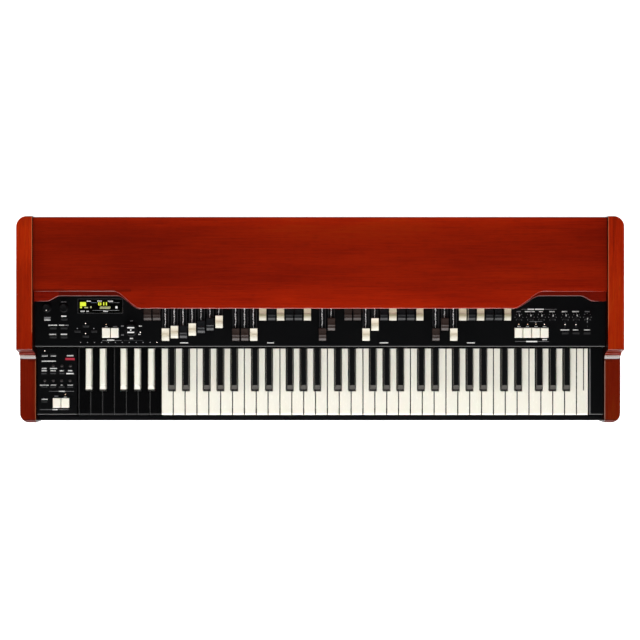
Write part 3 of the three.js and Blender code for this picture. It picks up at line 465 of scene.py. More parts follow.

# Black paints and plastics: factor of the dust's tone, scales of the noises, and zones of painted highlights
DUST_FACTOR = 1.7
BROAD_SCALE = 9.0
GLOSS_SPECK = 500.0
BLACK = (0.0014, 0.0015, 0.0018)
GLOSS_BLACK = (0.0036, 0.0036, 0.0040)
# Painted highlight along the long edges of the preset naturals
KEY_EDGE_HIGHLIGHT = (0.045, 0.045, 0.045)
PRESET_BLACK = (0.0005, 0.0005, 0.0006)
# Painted highlights: grey on the left block's front edge and on the panel's bead, paler on the right block's
# left end, and on the sharps' front slopes
EDGE_HIGHLIGHT_GREY = (0.11, 0.11, 0.107)
END_EDGE_HIGHLIGHT = (0.24, 0.24, 0.24)
SLOPE_HIGHLIGHT = (0.058, 0.053, 0.046)
EDGE_HEIGHTS = (62, 68)
BLOCK_EDGE = {"Y": (-188.8, -186.6), "Z": EDGE_HEIGHTS}
END_BLOCK_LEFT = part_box("right_key_block")[0].x / MM
END_BLOCK_EDGE = {"X": (END_BLOCK_LEFT - 0.5, END_BLOCK_LEFT + 1.3), "Z": EDGE_HEIGHTS}
BLACKS = {
    "panel_paint": {"roughness": 0.32, "colour": BLACK, "speck": 1400.0, "bump": 0.08},
    "bead_paint": {"roughness": 0.4, "colour": EDGE_HIGHLIGHT_GREY, "speck": 900.0, "bump": 0.08},
    "block_plastic": {
        "roughness": 0.3,
        "colour": BLACK,
        "speck": 1100.0,
        "bump": 0.08,
        "painted_highlights": [(BLOCK_EDGE, EDGE_HIGHLIGHT_GREY), (END_BLOCK_EDGE, END_EDGE_HIGHLIGHT)],
    },
    "gloss_black": {
        "roughness": 0.24,
        "colour": GLOSS_BLACK,
        "speck": GLOSS_SPECK,
        "bump": 0.03,
        "painted_highlights": [(SHARP_SLOPE, SLOPE_HIGHLIGHT)],
        "specular": KEY_SPECULAR,
    },
    "steel_paint": {"roughness": 0.5, "colour": (0.010, 0.010, 0.011), "speck": 700.0, "bump": 0.3},
}

# Pale plastics: a low and a high tone, and zones of painted shade by a depth
IVORY = ((0.86, 0.83, 0.72), (0.93, 0.90, 0.79))
TAB_WHITE = ((0.90, 0.86, 0.74), (0.96, 0.92, 0.81))
PALES = {
    # The preset sharps get painted shade on their front slopes and at their feet
    "preset_ivory": {"tones": IVORY, "roughness": 0.26, "shadows": [(SHARP_SLOPE, 0.28), (SHARP_FOOT, 0.96)]},
    "ivory_plastic": {"tones": IVORY, "roughness": 0.26, "is_keys": True},
    "tab_plastic": {"tones": TAB_WHITE, "roughness": 0.3},
}

# Caps: a low and a high tone
CAP_COLOURS = {
    "brown": ((0.026, 0.016, 0.013), (0.036, 0.022, 0.018)),
    "black": ((0.0050, 0.0056, 0.0066), (0.0075, 0.0084, 0.0100)),
    "white": TAB_WHITE,
}
STEM = (0.0030, 0.0032, 0.0036)
PALE_LEVEL = 0.3

# Painted light and shade on the white caps from front to rear, as a share of the cap's length, for the bars
# that are drawn out and for those that stand fully in
CAP_PAINTED_LIGHT = [
    (0.0, (0.70, 0.70, 0.68)),
    (0.32, (0.74, 0.73, 0.69)),
    (0.38, (0.58, 0.55, 0.47)),
    (0.44, (0.60, 0.56, 0.48)),
    (0.52, (0.78, 0.73, 0.62)),
    (0.70, (0.92, 0.88, 0.80)),
    (1.0, (1.0, 0.99, 0.97)),
]
BANK_PAINTED_LIGHT = [
    (0.0, (0.66, 0.66, 0.66)),
    (0.30, (0.56, 0.54, 0.48)),
    (0.37, (0.34, 0.33, 0.24)),
    (0.47, (0.34, 0.32, 0.24)),
    (0.56, (0.54, 0.49, 0.42)),
    (1.0, (0.64, 0.62, 0.50)),
]

# Other moulded pieces, metals, lit marks and inks, and the factor of their fainter tone
FAINT = 0.8
SHADE_FELT_TONES = ((0.0008, 0.0008, 0.0008), (0.0022, 0.0022, 0.0022))
MOULDED = {
    "foot_rubber": {"colour": (0.012, 0.012, 0.012), "roughness": 0.85},
    "button_rubber": {"colour": (0.010, 0.010, 0.011), "roughness": 0.42, "specular": 0.35},
    "knob_black": {"colour": (0.0016, 0.0016, 0.0020), "roughness": 0.5, "specular": 0.14},
    "socket_black": {"colour": (0.010, 0.010, 0.010), "roughness": 0.45},
    "lamp_off": {"colour": (0.035, 0.028, 0.028), "roughness": 0.25},
}
METALS = {
    "zinc_sheet": {"colour": (0.55, 0.56, 0.57), "roughness": 0.4},
    "screw_steel": {"colour": (0.10, 0.10, 0.11), "roughness": 0.35},
    "nickel": {"colour": (0.62, 0.60, 0.56), "roughness": 0.25},
}
LIT = "display_on"
LIT_SOFT = "display_soft"
LIGHTS = {
    # The unlit lamps glow faintly: a painted highlight of their lenses
    "lamp_dim": {"colour": (0.75, 0.75, 0.80), "strength": 0.7},
    "lamp_on": {"colour": (1.0, 0.95, 0.90), "strength": 3.0},
    "lamp_orange": {"colour": (1.0, 0.72, 0.50), "strength": 2.0},
    LIT: {"colour": (0.70, 0.80, 0.03), "strength": 1.3},
    LIT_SOFT: {"colour": (0.88, 0.88, 0.44), "strength": 0.6},
}
WHITE = "print_white"
GREY = "print_grey"
DIM = "print_dim"
BRIGHT = "print_bright"
BLUE = "print_blue"
RED = "print_red"
SCALE_WHITE = "print_scale"
INKS = {
    WHITE: {"colour": (0.90, 0.90, 0.88)},
    GREY: {"colour": (0.27, 0.27, 0.28)},
    DIM: {"colour": (0.055, 0.055, 0.06)},
    BRIGHT: {"colour": (0.96, 0.96, 0.94)},
    BLUE: {"colour": (0.20, 0.26, 0.36)},
    RED: {"colour": (0.50, 0.008, 0.035)},
    SCALE_WHITE: {"colour": (0.98, 0.98, 0.98)},
}

# Parts of the main board
BOARD_SHEET_TOP = 9.7 * MM
TRANSFORMER_RIGHT = 82 * MM
SOCKET_ROW = 30 * MM
TRANSFORMER = (0.20, 0.13, 0.03)
SOCKET_BLACK = (0.006, 0.006, 0.006)
BOARD_GREENS = ((0.020, 0.085, 0.038), (0.03, 0.11, 0.05))
TRACE_GREEN = (0.08, 0.2, 0.07)

# Cells of the display and the gaps between them
LENS_TONES = ((0.0016, 0.0018, 0.0014), (0.0022, 0.0024, 0.0016))
LENS_GAP = (0.0008, 0.0009, 0.0008)


def wood_tone(shade, along, streaks, colours, pores):
    """Colour of the bare wood: figure, streaks and broad clouds, with darker pores."""
    figure = shade.grain(along, **WOOD_FIGURE)
    cloud = shade.noise(**WOOD_CLOUD)
    tone = shade.math("MULTIPLY_ADD", figure, FIGURE_WEIGHT, shade.math("MULTIPLY", streaks, STREAK_WEIGHT))
    tone = shade.math("MULTIPLY_ADD", cloud, CLOUD_WEIGHT, tone)
    colour = shade.ramp(tone, list(zip(WOOD_TONES, colours)))
    return shade.blend(1.0, colour, shade.ramp(pores, PORE_STOPS), "MULTIPLY")


def wood(name, along, colours, painted_light, shade_ramps=(), dull=(), coat_ior=1.68):
    """Red-brown stained wood under varnish, with its grain along one axis and broad ramps of painted shade.
    A zone of painted light or shade is one where the wood turns toward a colour by a weight. The varnish
    gleams on rounded edges, and less in the dull zones."""
    coat = {"Coat_Weight": EDGE_VARNISH, "Coat_Roughness": 0.04, "Coat_IOR": coat_ior}
    shade = Surface(name, 0.3, Specular_IOR_Level=0.05, **coat)
    streaks = shade.grain(along, **WOOD_STREAKS)
    pores = shade.grain(along, **WOOD_PORES)
    colour = wood_tone(shade, along, streaks, colours, pores)
    for axis, (low, high), stops in shade_ramps:
        share = shade.spread(shade.coordinate("Object", axis), low * MM, high * MM)
        colour = shade.blend(1.0, colour, shade.ramp(share, stops), "MULTIPLY")
    for zone, tint, weight in painted_light:
        colour = shade.blend(shade.inside(zone, weight), colour, tint)
    varnish = shade.math("MULTIPLY_ADD", shade.roundness(), EDGE_VARNISH - FLAT_VARNISH, FLAT_VARNISH)
    for zone, depth in dull:
        varnish = shade.math("MULTIPLY", varnish, shade.math("SUBTRACT", 1.0, shade.inside(zone, depth)))
    shade.set(Coat_Weight=varnish)
    shade.cover(colour, streaks, swing=0.12, level=0.25)
    shade.bump(pores, strength=0.05, depth=0.1)
    return shade.material


def satin_black(name, roughness, colour, speck, bump, painted_highlights=(), specular=0.22):
    """Black paint or plastic with a fine texture and faint dust, and painted highlights in some zones."""
    shade = Surface(name, roughness, Specular_IOR_Level=specular)
    grain = shade.noise(speck)
    paint = shade.blend(grain, colour, tinted(colour, DUST_FACTOR))
    for zone, pale in painted_highlights:
        paint = shade.blend(shade.inside(zone), paint, pale)
    shade.cover(paint, shade.noise(BROAD_SCALE), swing=0.14, level=roughness - 0.07)
    shade.bump(grain, strength=bump, depth=0.05)
    return shade.material


def preset_black():
    """Gloss black of the preset naturals, with a painted highlight along the long edges of each key."""
    shade = Surface("preset_black", 0.24, Specular_IOR_Level=KEY_SPECULAR)
    grain = shade.noise(GLOSS_SPECK)
    black = shade.blend(grain, PRESET_BLACK, GLOSS_BLACK)
    edge_lit = shade.blend(shade.seams(*KEY_EDGE_HIGHLIGHT_REACH), black, KEY_EDGE_HIGHLIGHT)
    shade.cover(edge_lit, grain, swing=0.1, level=0.2)
    return shade.material


def key_gaps(shade):
    """Depth of the shadow at the seams between keys and beside the sharps."""
    seams = shade.math("MULTIPLY", shade.seams(*SEAM_REACH), SEAM_DEPTH)
    beside = shade.math("MULTIPLY", shade.sharp_shadows(), shade.inside(BESIDE_SHARPS, SHADOW_DEPTH))
    return shade.math("MAXIMUM", seams, beside)


def pale_plastic(name, tones, roughness, shadows=(), is_keys=False):
    """Moulded plastic in a pale colour, a little uneven in tone and gloss, with zones of painted shade."""
    shade = Surface(name, roughness, Subsurface_Weight=0.05, Subsurface_Scale=0.002)
    colour = shade.blend(shade.noise(**PALE_CLOUD), *tones)
    for zone, depth in shadows:
        colour = shade.blend(shade.inside(zone, depth), colour, SHADE_BLACK)
    if is_keys:
        colour = shade.blend(key_gaps(shade), colour, SHADE_BLACK)
    wear = shade.noise(**PALE_WEAR)
    shade.cover(colour, wear, swing=0.12, level=roughness - 0.06)
    shade.bump(wear, strength=0.03, depth=0.03)
    return shade.material


def moulded(name, colour, roughness, specular=0.5):
    """Dark moulded plastic or rubber, slowly uneven in tone."""
    shade = Surface(name, roughness, Specular_IOR_Level=specular)
    cloud = shade.noise(**MOULD_CLOUD)
    mottled = shade.blend(cloud, colour, tinted(colour, 1.4))
    shade.cover(mottled, cloud, swing=0.15, level=roughness - 0.07)
    shade.bump(cloud, strength=0.04, depth=0.04)
    return shade.material


def metal(name, colour, roughness):
    """Bare metal, brushed from side to side."""
    shade = Surface(name, roughness, Metallic=1.0)
    brush = shade.grain(0, **BRUSHING)
    mottled = shade.blend(brush, tinted(colour, FAINT), colour)
    shade.cover(mottled, brush, swing=0.2, level=roughness - 0.1)
    shade.bump(brush, strength=0.05, depth=0.04)
    return shade.material


def shade_felt():
    """Black felt: matt, with a fine nap. Its black also paints the shade under the panel's front edge."""
    shade = Surface("black_shade_felt", 1.0, Specular_IOR_Level=0.05)
    nap = shade.noise(**FELT_NAP)
    shade.set(Base_Color=shade.blend(nap, *SHADE_FELT_TONES))
    shade.bump(nap, strength=0.5, depth=0.2)
    return shade.material


def glowing(name, colour, strength):
    """A lit lamp or display mark, a little uneven in brightness."""
    shade = Surface(name, 0.3, (0.02, 0.02, 0.02), Emission_Strength=strength)
    grain = shade.noise(900.0, detail=1)
    shade.set(Emission_Color=shade.blend(grain, tinted(colour, FAINT), colour))
    return shade.material


def ink(name, colour):
    """Printed ink, slightly uneven."""
    shade = Surface(name, 0.6)
    grain = shade.noise(1500.0, detail=2)
    shade.set(Base_Color=shade.blend(grain, tinted(colour, FAINT), colour))
    return shade.material


def bar_plastic(colour):
    """Coloured cap on a black stem: the cap is the front share of a bar's length."""
    shade = Surface("bar_" + colour, 0.3, Specular_IOR_Level=0.35)
    along = shade.coordinate("Generated", "Y")
    cloud = shade.noise(**MOULD_CLOUD)
    cap = shade.blend(cloud, *CAP_COLOURS[colour])
    if colour == "white":
        # Painted light and shade along the white caps
        painted_cap = shade.ramp(shade.math("DIVIDE", along, CAP_SHARE), CAP_PAINTED_LIGHT)
        cap = shade.blend(1.0, cap, painted_cap, "MULTIPLY")
    is_stem = shade.math("GREATER_THAN", along, CAP_SHARE)
    shade.cover(shade.blend(is_stem, cap, STEM), cloud, swing=0.12, level=0.24)
    shade.bump(cloud, strength=0.03, depth=0.03)
    return shade.material


def resting_bars():
    """Centre and colour of each bar that stands fully in, from left to right."""
    found = []
    for known, steps in BAR_SETS:
        known_index = int(known.rsplit("_", 1)[1]) - 1
        for index, step in enumerate(steps):
            if step == 0:
                centre = middle_of(known)[0] + (index - known_index) * BAR_PITCH
                found.append((centre, SET_COLOURS[index]))
    return found


def bank_stops(left, width):
    """Colours of the bars that stand fully in, by the share of the bank's width."""
    stops, last = [(0.0, STEM)], None
    for centre, colour in resting_bars():
        if colour != last:
            stops.append(((centre - BAR_PITCH / 2 - left) / width, CAP_COLOURS[colour][0]))
            last = colour
    return stops


def bank_plastic():
    """Guide frame with the bars that stand fully in: black, and each cap in its own colour."""
    shade = Surface("bank_plastic", 0.3, Specular_IOR_Level=0.25)
    low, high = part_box("drawbar_frame")
    across = shade.spread(shade.coordinate("Object", "X"), low.x, high.x)
    caps = shade.ramp(across, bank_stops(low.x, high.x - low.x), "CONSTANT")
    depth = shade.math("SUBTRACT", shade.coordinate("Object", "Y"), low.y)
    # Painted light and shade along the white caps that stand fully in
    painted_tone = shade.ramp(shade.math("DIVIDE", depth, CAP_LENGTH), BANK_PAINTED_LIGHT)
    whites = shade.math("GREATER_THAN", caps, PALE_LEVEL)
    caps = shade.blend(whites, caps, shade.blend(1.0, caps, painted_tone, "MULTIPLY"))
    cloud = shade.noise(**MOULD_CLOUD)
    caps = shade.blend(1.0, caps, shade.math("MULTIPLY_ADD", cloud, 0.1, 0.95), "MULTIPLY")
    is_cap = shade.math("LESS_THAN", depth, CAP_LENGTH)
    shade.cover(shade.blend(is_cap, STEM, caps), cloud, swing=0.12, level=0.26)
    shade.bump(cloud, strength=0.03, depth=0.03)
    return shade.material


def circuit_board():
    """Green sheet with copper traces, black chips and sockets, and a wound transformer."""
    shade = Surface("circuit_board", 0.4)
    low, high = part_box("main_board")
    across, back, height = (shade.coordinate("Object", axis) for axis in "XYZ")
    above = shade.math("GREATER_THAN", height, low.z + BOARD_SHEET_TOP)
    traces = shade.grid(scale=90.0, gap=0.02, tones=BOARD_GREENS, gap_tone=TRACE_GREEN)
    base = shade.blend(above, traces["Color"], SOCKET_BLACK)
    at_left = shade.math("LESS_THAN", across, low.x + TRANSFORMER_RIGHT)
    at_front = shade.math("LESS_THAN", back, high.y - SOCKET_ROW)
    base = shade.blend(shade.combine("MULTIPLY", [above, at_left, at_front]), base, TRANSFORMER)
    shade.cover(base, shade.noise(800.0), swing=0.2, level=0.3)
    shade.bump(traces["Fac"], strength=0.2, depth=0.05)
    return shade.material


def display_lens():
    """Dark lens over the display, with a faint cell grid beneath its gloss."""
    shade = Surface("display_lens", 0.08, Coat_Weight=0.5, Coat_Roughness=0.03)
    cells = shade.grid(scale=700.0, gap=0.05, tones=LENS_TONES, gap_tone=LENS_GAP)
    shade.cover(cells["Color"], shade.noise(30.0), swing=0.06, level=0.05)
    return shade.material


def make_materials():
    """Materials by name."""
    made = {
        "preset_black": preset_black(),
        "bank_plastic": bank_plastic(),
        "circuit_board": circuit_board(),
        "display_lens": display_lens(),
        "black_shade_felt": shade_felt(),
    }
    for colour in CAP_COLOURS:
        made["bar_" + colour] = bar_plastic(colour)
    tables = [
        (wood, WOODS),
        (satin_black, BLACKS),
        (pale_plastic, PALES),
        (moulded, MOULDED),
        (metal, METALS),
        (glowing, LIGHTS),
        (ink, INKS),
    ]
    for maker, table in tables:
        for name, values in table.items():
            made[name] = maker(name, **values)
    return made


# Frame nodes: by the first pattern that fits a name, the material, the edge rounding in
# millimetres and the kind of smooth shading
FINISHES = [
    ("top_lid", "lid_wood", 0, "round"),
    ("*_fascia", "fascia_wood", 0, "round"),
    ("*_cheek", "cheek_wood", 1.2, "round"),
    ("control_panel", "panel_paint", 0.35, "crisp"),
    ("left_control_block", "block_plastic", 0.4, "crisp"),
    ("right_key_block", "block_plastic", 0.5, "crisp"),
    ("key_slip", "block_plastic", 0.3, "crisp"),
    ("rear_panel", "steel_paint", 0.2, "crisp"),
    ("bottom_chassis", "steel_paint", 0.3, "crisp"),
    ("key_frame", "zinc_sheet", 0.3, "crisp"),
    ("main_board", "circuit_board", 0.2, "crisp"),
    ("drawbar_frame", "bank_plastic", 0.3, "cap"),
    ("display_window", "display_lens", 0.2, "crisp"),
    ("foot*", "foot_rubber", 1.0, "crisp"),
    ("preset_naturals", "preset_black", 0.6, "crisp"),
    ("*_naturals", "ivory_plastic", 0.6, "crisp"),
    ("preset_sharps", "preset_ivory", 0.7, "crisp"),
    ("*_sharps", "gloss_black", 0.7, "crisp"),
    ("*_tab_*", "tab_plastic", 0.5, "crisp"),
    ("drawbar_*_[12]", "bar_brown", 0.5, "cap"),
    ("drawbar_*_[3469]", "bar_white", 0.5, "cap"),
    ("drawbar_*_[578]", "bar_black", 0.5, "cap"),
    ("*", "gloss_black", 0.4, "crisp"),
]

# Angles in degrees: edges that stay sharp in smooth shading, flat faces to join, edges to round
SHARP_ANGLES = {"crisp": 34, "round": 52, "cap": 12}
PLANAR_ANGLE = 0.4
BEVEL_ANGLE = 35
BEVEL_SEGMENTS = 2
WELD_DISTANCE = 0.02 * MM
NORMAL_WEIGHT = 100


def smooth_group(kind):
    """Geometry nodes that shade a mesh smooth and keep its edges sharp above an angle."""
    group = bpy.data.node_groups.new("smooth_" + kind, "GeometryNodeTree")
    for way in ("INPUT", "OUTPUT"):
        group.interface.new_socket("Geometry", in_out=way, socket_type="NodeSocketGeometry")
    tree = Shade(group)
    smooth = "GeometryNodeSetShadeSmooth"
    faces = tree.node(smooth, {"Geometry": tree.node("NodeGroupInput").outputs[0]})
    angle = tree.node("GeometryNodeInputMeshEdgeAngle").outputs["Unsigned Angle"]
    limits = {0: angle, 1: math.radians(SHARP_ANGLES[kind])}
    sharp = tree.node("FunctionNodeCompare", limits, data_type="FLOAT", operation="GREATER_THAN")
    inputs = {"Geometry": faces.outputs[0], "Selection": sharp.outputs[0], "Shade Smooth": False}
    edges = tree.node(smooth, inputs, domain="EDGE")
    tree.node("NodeGroupOutput", {0: edges.outputs[0]})
    return group


def add_modifier(piece, name, kind, **settings):
    made = piece.modifiers.new(name, kind)
    for key, value in settings.items():
        setattr(made, key, value)


def soften(piece, group, width):
    """Welds and simplifies a mesh, then rounds and shades its edges, all by modifiers."""
    add_modifier(piece, "weld", "WELD", merge_threshold=WELD_DISTANCE)
    planar = math.radians(PLANAR_ANGLE)
    add_modifier(piece, "planar", "DECIMATE", decimate_type="DISSOLVE", angle_limit=planar)
    if width > 0:
        add_modifier(
            piece,
            "bevel",
            "BEVEL",
            width=width,
            segments=BEVEL_SEGMENTS,
            limit_method="ANGLE",
            angle_limit=math.radians(BEVEL_ANGLE),
            use_clamp_overlap=True,
            harden_normals=False,
        )
    add_modifier(piece, "shading", "NODES", node_group=group)
    add_modifier(piece, "weighted", "WEIGHTED_NORMAL", keep_sharp=True, weight=NORMAL_WEIGHT)


def finish_of(name):
    for pattern, *finish in FINISHES:
        if fnmatch.fnmatch(name, pattern):
            return finish


def dress_frame(bench):
    for name, node in frame["nodes"].items():
        look, width, kind = finish_of(name)
        for slot in node.material_slots:
            slot.material = bench.materials[look]
        soften(node, bench.groups[kind], width * MM)


# Small modelled pieces, built from outlines and closed skins
UPRIGHT_PIECE = Matrix.Identity(4)
TO_REAR = Matrix.Rotation(math.radians(-90), 4, "X")
TO_FLOOR = Matrix.Rotation(math.radians(180), 4, "X")
ROUND_STEPS = 32
SMALL_STEPS = 14
MITRE_LIMIT = 0.4
SOFT_CORNER = 0.6 * MM
CORNER_STEPS = 3


def outline(centre, width, depth, corner, steps):
    """Rectangle with rounded corners, as flat points."""
    points = []
    for quarter in range(4):
        side_x = 1 if quarter in (0, 3) else -1
        side_y = 1 if quarter in (0, 1) else -1
        middle_x = centre[0] + side_x * (width / 2 - corner)
        middle_y = centre[1] + side_y * (depth / 2 - corner)
        for step in range(steps):
            angle = math.radians(90) * (quarter + step / (steps - 1))
            points.append((middle_x + corner * math.cos(angle), middle_y + corner * math.sin(angle)))
    return points


def around(centre, reaches):
    """Points round a centre, one for each reach."""
    points = []
    for index, reach in enumerate(reaches):
        angle = index * math.tau / len(reaches)
        points.append((centre[0] + reach * math.cos(angle), centre[1] + reach * math.sin(angle)))
    return points


def turned_point(centre, reach, degrees):
    """Point at a clock angle round a centre, 0 at the back and growing to the right."""
    angle = math.radians(degrees)
    return centre[0] + reach * math.sin(angle), centre[1] + reach * math.cos(angle)


def at_height(points, z):
    return [(x, y, z) for x, y in points]


class Form:
    """Closed shapes gathered into one mesh. Each face has the name of its material, and a facing
    turns shapes that are drawn upright to another side of the organ."""

    def __init__(self, facing=UPRIGHT_PIECE):
        self.facing = facing
        self.points = []
        self.faces = []
        self.inks = []
        self.palette = []

    def add(self, points, faces, ink):
        if ink not in self.palette:
            self.palette.append(ink)
        start = len(self.points)
        self.points += [self.facing @ Vector(point) for point in points]
        self.faces += [[start + corner for corner in face] for face in faces]
        self.inks += [self.palette.index(ink)] * len(faces)

    def skin(self, rings, ink, is_closed=False):
        """Closed skin over rings of points: with a flat face at each end, or back to the first."""
        count = len(rings[0])
        last = (len(rings) - 1) * count
        ends = [] if is_closed else [list(range(count)), list(range(last, last + count))]
        faces = []
        for level in range(len(rings) if is_closed else len(rings) - 1):
            low, high = level * count, (level + 1) % len(rings) * count
            for index in range(count):
                after = (index + 1) % count
                faces.append([low + index, low + after, high + after, high + index])
        self.add([point for ring in rings for point in ring], ends + faces, ink)

    def pad(self, centre, base, size, rise, ink, corner=0.15 * MM, steps=2):
        """Low raised rectangle with a bevelled top edge."""
        width, depth = size
        edge = min(rise, width, depth) / 3
        full = outline(centre, width, depth, corner, steps)
        small = outline(centre, width - 2 * edge, depth - 2 * edge, max(corner - edge, corner / 3), steps)
        rings = [(full, base), (full, base + rise - edge), (small, base + rise)]
        self.skin([at_height(ring, z) for ring, z in rings], ink)

    def turned(self, centre, profile, ink, steps=ROUND_STEPS):
        """Round body from radii and heights."""
        self.skin([at_height(around(centre, [radius] * steps), z) for radius, z in profile], ink)

    def ribbed(self, centre, profile, ink, ribs):
        """Round body whose grip has ribs along its height: radii, heights and share of the ribs."""
        rings = []
        for radius, z, share in profile:
            valley = radius - RIB_DEPTH * share
            rings.append(at_height(around(centre, [radius, radius, valley, valley] * ribs), z))
        self.skin(rings, ink)

    def hoop(self, centre, inner, outer, low, high, ink, steps=ROUND_STEPS, flats=0):
        """Ring with a rectangular section. With flats its rim is like that of a nut."""
        sections = []
        for index in range(steps):
            angle = index * math.tau / steps
            reach = outer
            if flats:
                flat = math.tau / flats
                reach = outer * math.cos(flat / 2) / math.cos(angle % flat - flat / 2)
            section = [(inner, low), (reach, low), (reach, high), (inner, high)]
            cos, sin = math.cos(angle), math.sin(angle)
            sections.append([(centre[0] + r * cos, centre[1] + r * sin, z) for r, z in section])
        self.skin(sections, ink, is_closed=True)

    def border(self, centre, size, thickness, low, high, ink):
        """Rectangular frame with open middle."""
        section = [(0, low), (thickness, low), (thickness, high), (0, high)]
        sections = []
        for side_x, side_y in [(1, 1), (-1, 1), (-1, -1), (1, -1)]:
            corner = []
            for inset, z in section:
                x = centre[0] + side_x * (size[0] / 2 - inset)
                y = centre[1] + side_y * (size[1] / 2 - inset)
                corner.append((x, y, z))
            sections.append(corner)
        self.skin(sections, ink, is_closed=True)

    def stroke(self, path, width, base, rise, ink):
        """Flat line of one width along a path, mitred at its corners."""
        rings = []
        for index, point in enumerate(path):
            here = Vector(point)
            ahead = Vector(path[min(index + 1, len(path) - 1)]) - here
            behind = here - Vector(path[max(index - 1, 0)])
            first = (behind if behind.length else ahead).normalized()
            second = (ahead if ahead.length else behind).normalized()
            across = Vector((-first.y - second.y, first.x + second.x)).normalized()
            reach = width / 2 / max(across.dot(Vector((-first.y, first.x))), MITRE_LIMIT)
            left, right = here + across * reach, here - across * reach
            top = base + rise
            rings.append([(*left, base), (*right, base), (*right, top), (*left, top)])
        self.skin(rings, ink)


class Bench:
    """The materials and the kinds of smooth shading, and the way to place a small piece."""

    def __init__(self):
        self.materials = make_materials()
        self.groups = {kind: smooth_group(kind) for kind in SHARP_ANGLES}

    def mesh(self, name, form):
        mesh = bpy.data.meshes.new(name)
        mesh.from_pydata(form.points, [], form.faces)
        for look in form.palette:
            mesh.materials.append(self.materials[look])
        mesh.polygons.foreach_set("material_index", form.inks)
        sheet = bmesh.new()
        sheet.from_mesh(mesh)
        bmesh.ops.recalc_face_normals(sheet, faces=sheet.faces)
        sheet.to_mesh(mesh)
        sheet.free()
        return mesh

    def place(self, name, mesh, slot, body, is_smooth=True, location=(0, 0, 0)):
        piece = bpy.data.objects.new(name, mesh)
        piece.location = location
        link(piece)
        if is_smooth:
            add_modifier(piece, "shading", "NODES", node_group=self.groups["crisp"])
        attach(piece, body)
        return piece

    def add(self, name, form, slot, body=ROOT, is_smooth=True):
        return self.place(name, self.mesh(name, form), slot, body, is_smooth)


# Printed marks. Words are rows of short plain bars of uneven width.
WORD_HEIGHT = 2.2 * MM
BAR_WIDTHS = (0.7 * MM, 1.6 * MM)
BAR_GAPS = (0.2 * MM, 0.4 * MM)
BAR_DROPS = [0, 0, 0.12]

# Heights of marks in millimetres, and the sign of a word
WORD = 0
RULE = 0.6
BOLD = 2.3
UPRIGHT = 3.4

# Pixel row, ink, height, and the left and right pixel of each mark
PANEL_MARKS = [
    (301.9, GREY, WORD, [(61.1, 66.1)]),
    (317.5, GREY, WORD, [(44.2, 51.0)]),
    (318.8, GREY, WORD, [(44.2, 50.6)]),
    (320.0, WHITE, WORD, [(44.2, 50.9)]),
    (316.2, WHITE, BOLD, [(61.1, 66.4)]),
    (325.2, WHITE, WORD, [(48.3, 57.1), (59.0, 64.3)]),
    (325.2, GREY, WORD, [(64.9, 68.6)]),
    (334.4, WHITE, WORD, [(49.3, 56.1)]),
    (334.3, BRIGHT, BOLD, [(60.8, 67.1)]),
    (340.1, BRIGHT, WORD, [(107.0, 114.3)]),
    (340.5, GREY, RULE, [(102.4, 106.6), (114.9, 121.5)]),
    (326.8, WHITE, WORD, [(105.1, 107.4)]),
    (326.6, GREY, WORD, [(112.9, 117.2)]),
    (320.8, GREY, WORD, [(130.2, 132.9)]),
    (326.0, GREY, WORD, [(121.0, 124.0)]),
    (326.0, WHITE, WORD, [(139.0, 142.0)]),
    (335.0, GREY, WORD, [(121.2, 124.2)]),
    (334.4, WHITE, WORD, [(138.4, 141.2)]),
    (338.5, WHITE, WORD, [(129.9, 133.0)]),
    (340.5, DIM, RULE, [(124.0, 142.7)]),
    (342.8, BRIGHT, WORD, [(180.0, 188.0), (267.3, 273.9), (379.8, 388.2), (467.0, 475.0)]),
    (309.3, GREY, RULE, [(521.3, 527.0)]),
    (309.3, WHITE, BOLD, [(527.6, 534.1), (535.0, 543.8)]),
    (309.3, GREY, RULE, [(544.4, 556.6)]),
    (311.6, GREY, WORD, [(516.6, 521.0)]),
    (311.6, WHITE, WORD, [(525.0, 534.8), (539.1, 543.2), (549.4, 555.0), (561.9, 567.6)]),
    (311.6, WHITE, WORD, [(572.3, 579.4)]),
    (311.6, GREY, WORD, [(584.8, 590.0)]),
    (321.5, GREY, RULE, [(529.4, 542.2)]),
    (326.6, WHITE, WORD, [(517.5, 520.5), (526.1, 529.1), (534.6, 537.6), (542.9, 546.2)]),
    (339.6, WHITE, WORD, [(542.3, 547.0)]),
    (341.5, GREY, RULE, [(515.0, 525.6)]),
    (341.5, BRIGHT, BOLD, [(526.0, 537.3)]),
    (341.5, GREY, RULE, [(538.2, 549.1)]),
    (329.9, WHITE, WORD, [(560.7, 569.1), (572.9, 578.8), (584.1, 590.4)]),
    (322.3, GREY, UPRIGHT, [(535.3, 536.2)]),
    (322.6, DIM, UPRIGHT, [(564.7, 565.3)]),
    (326.8, DIM, UPRIGHT, [(564.7, 565.3)]),
    (322.6, DIM, UPRIGHT, [(575.7, 576.3)]),
    (326.8, DIM, UPRIGHT, [(575.7, 576.3)]),
    (321.8, GREY, UPRIGHT, [(587.1, 587.7)]),
    (326.4, DIM, UPRIGHT, [(587.1, 587.7)]),
]
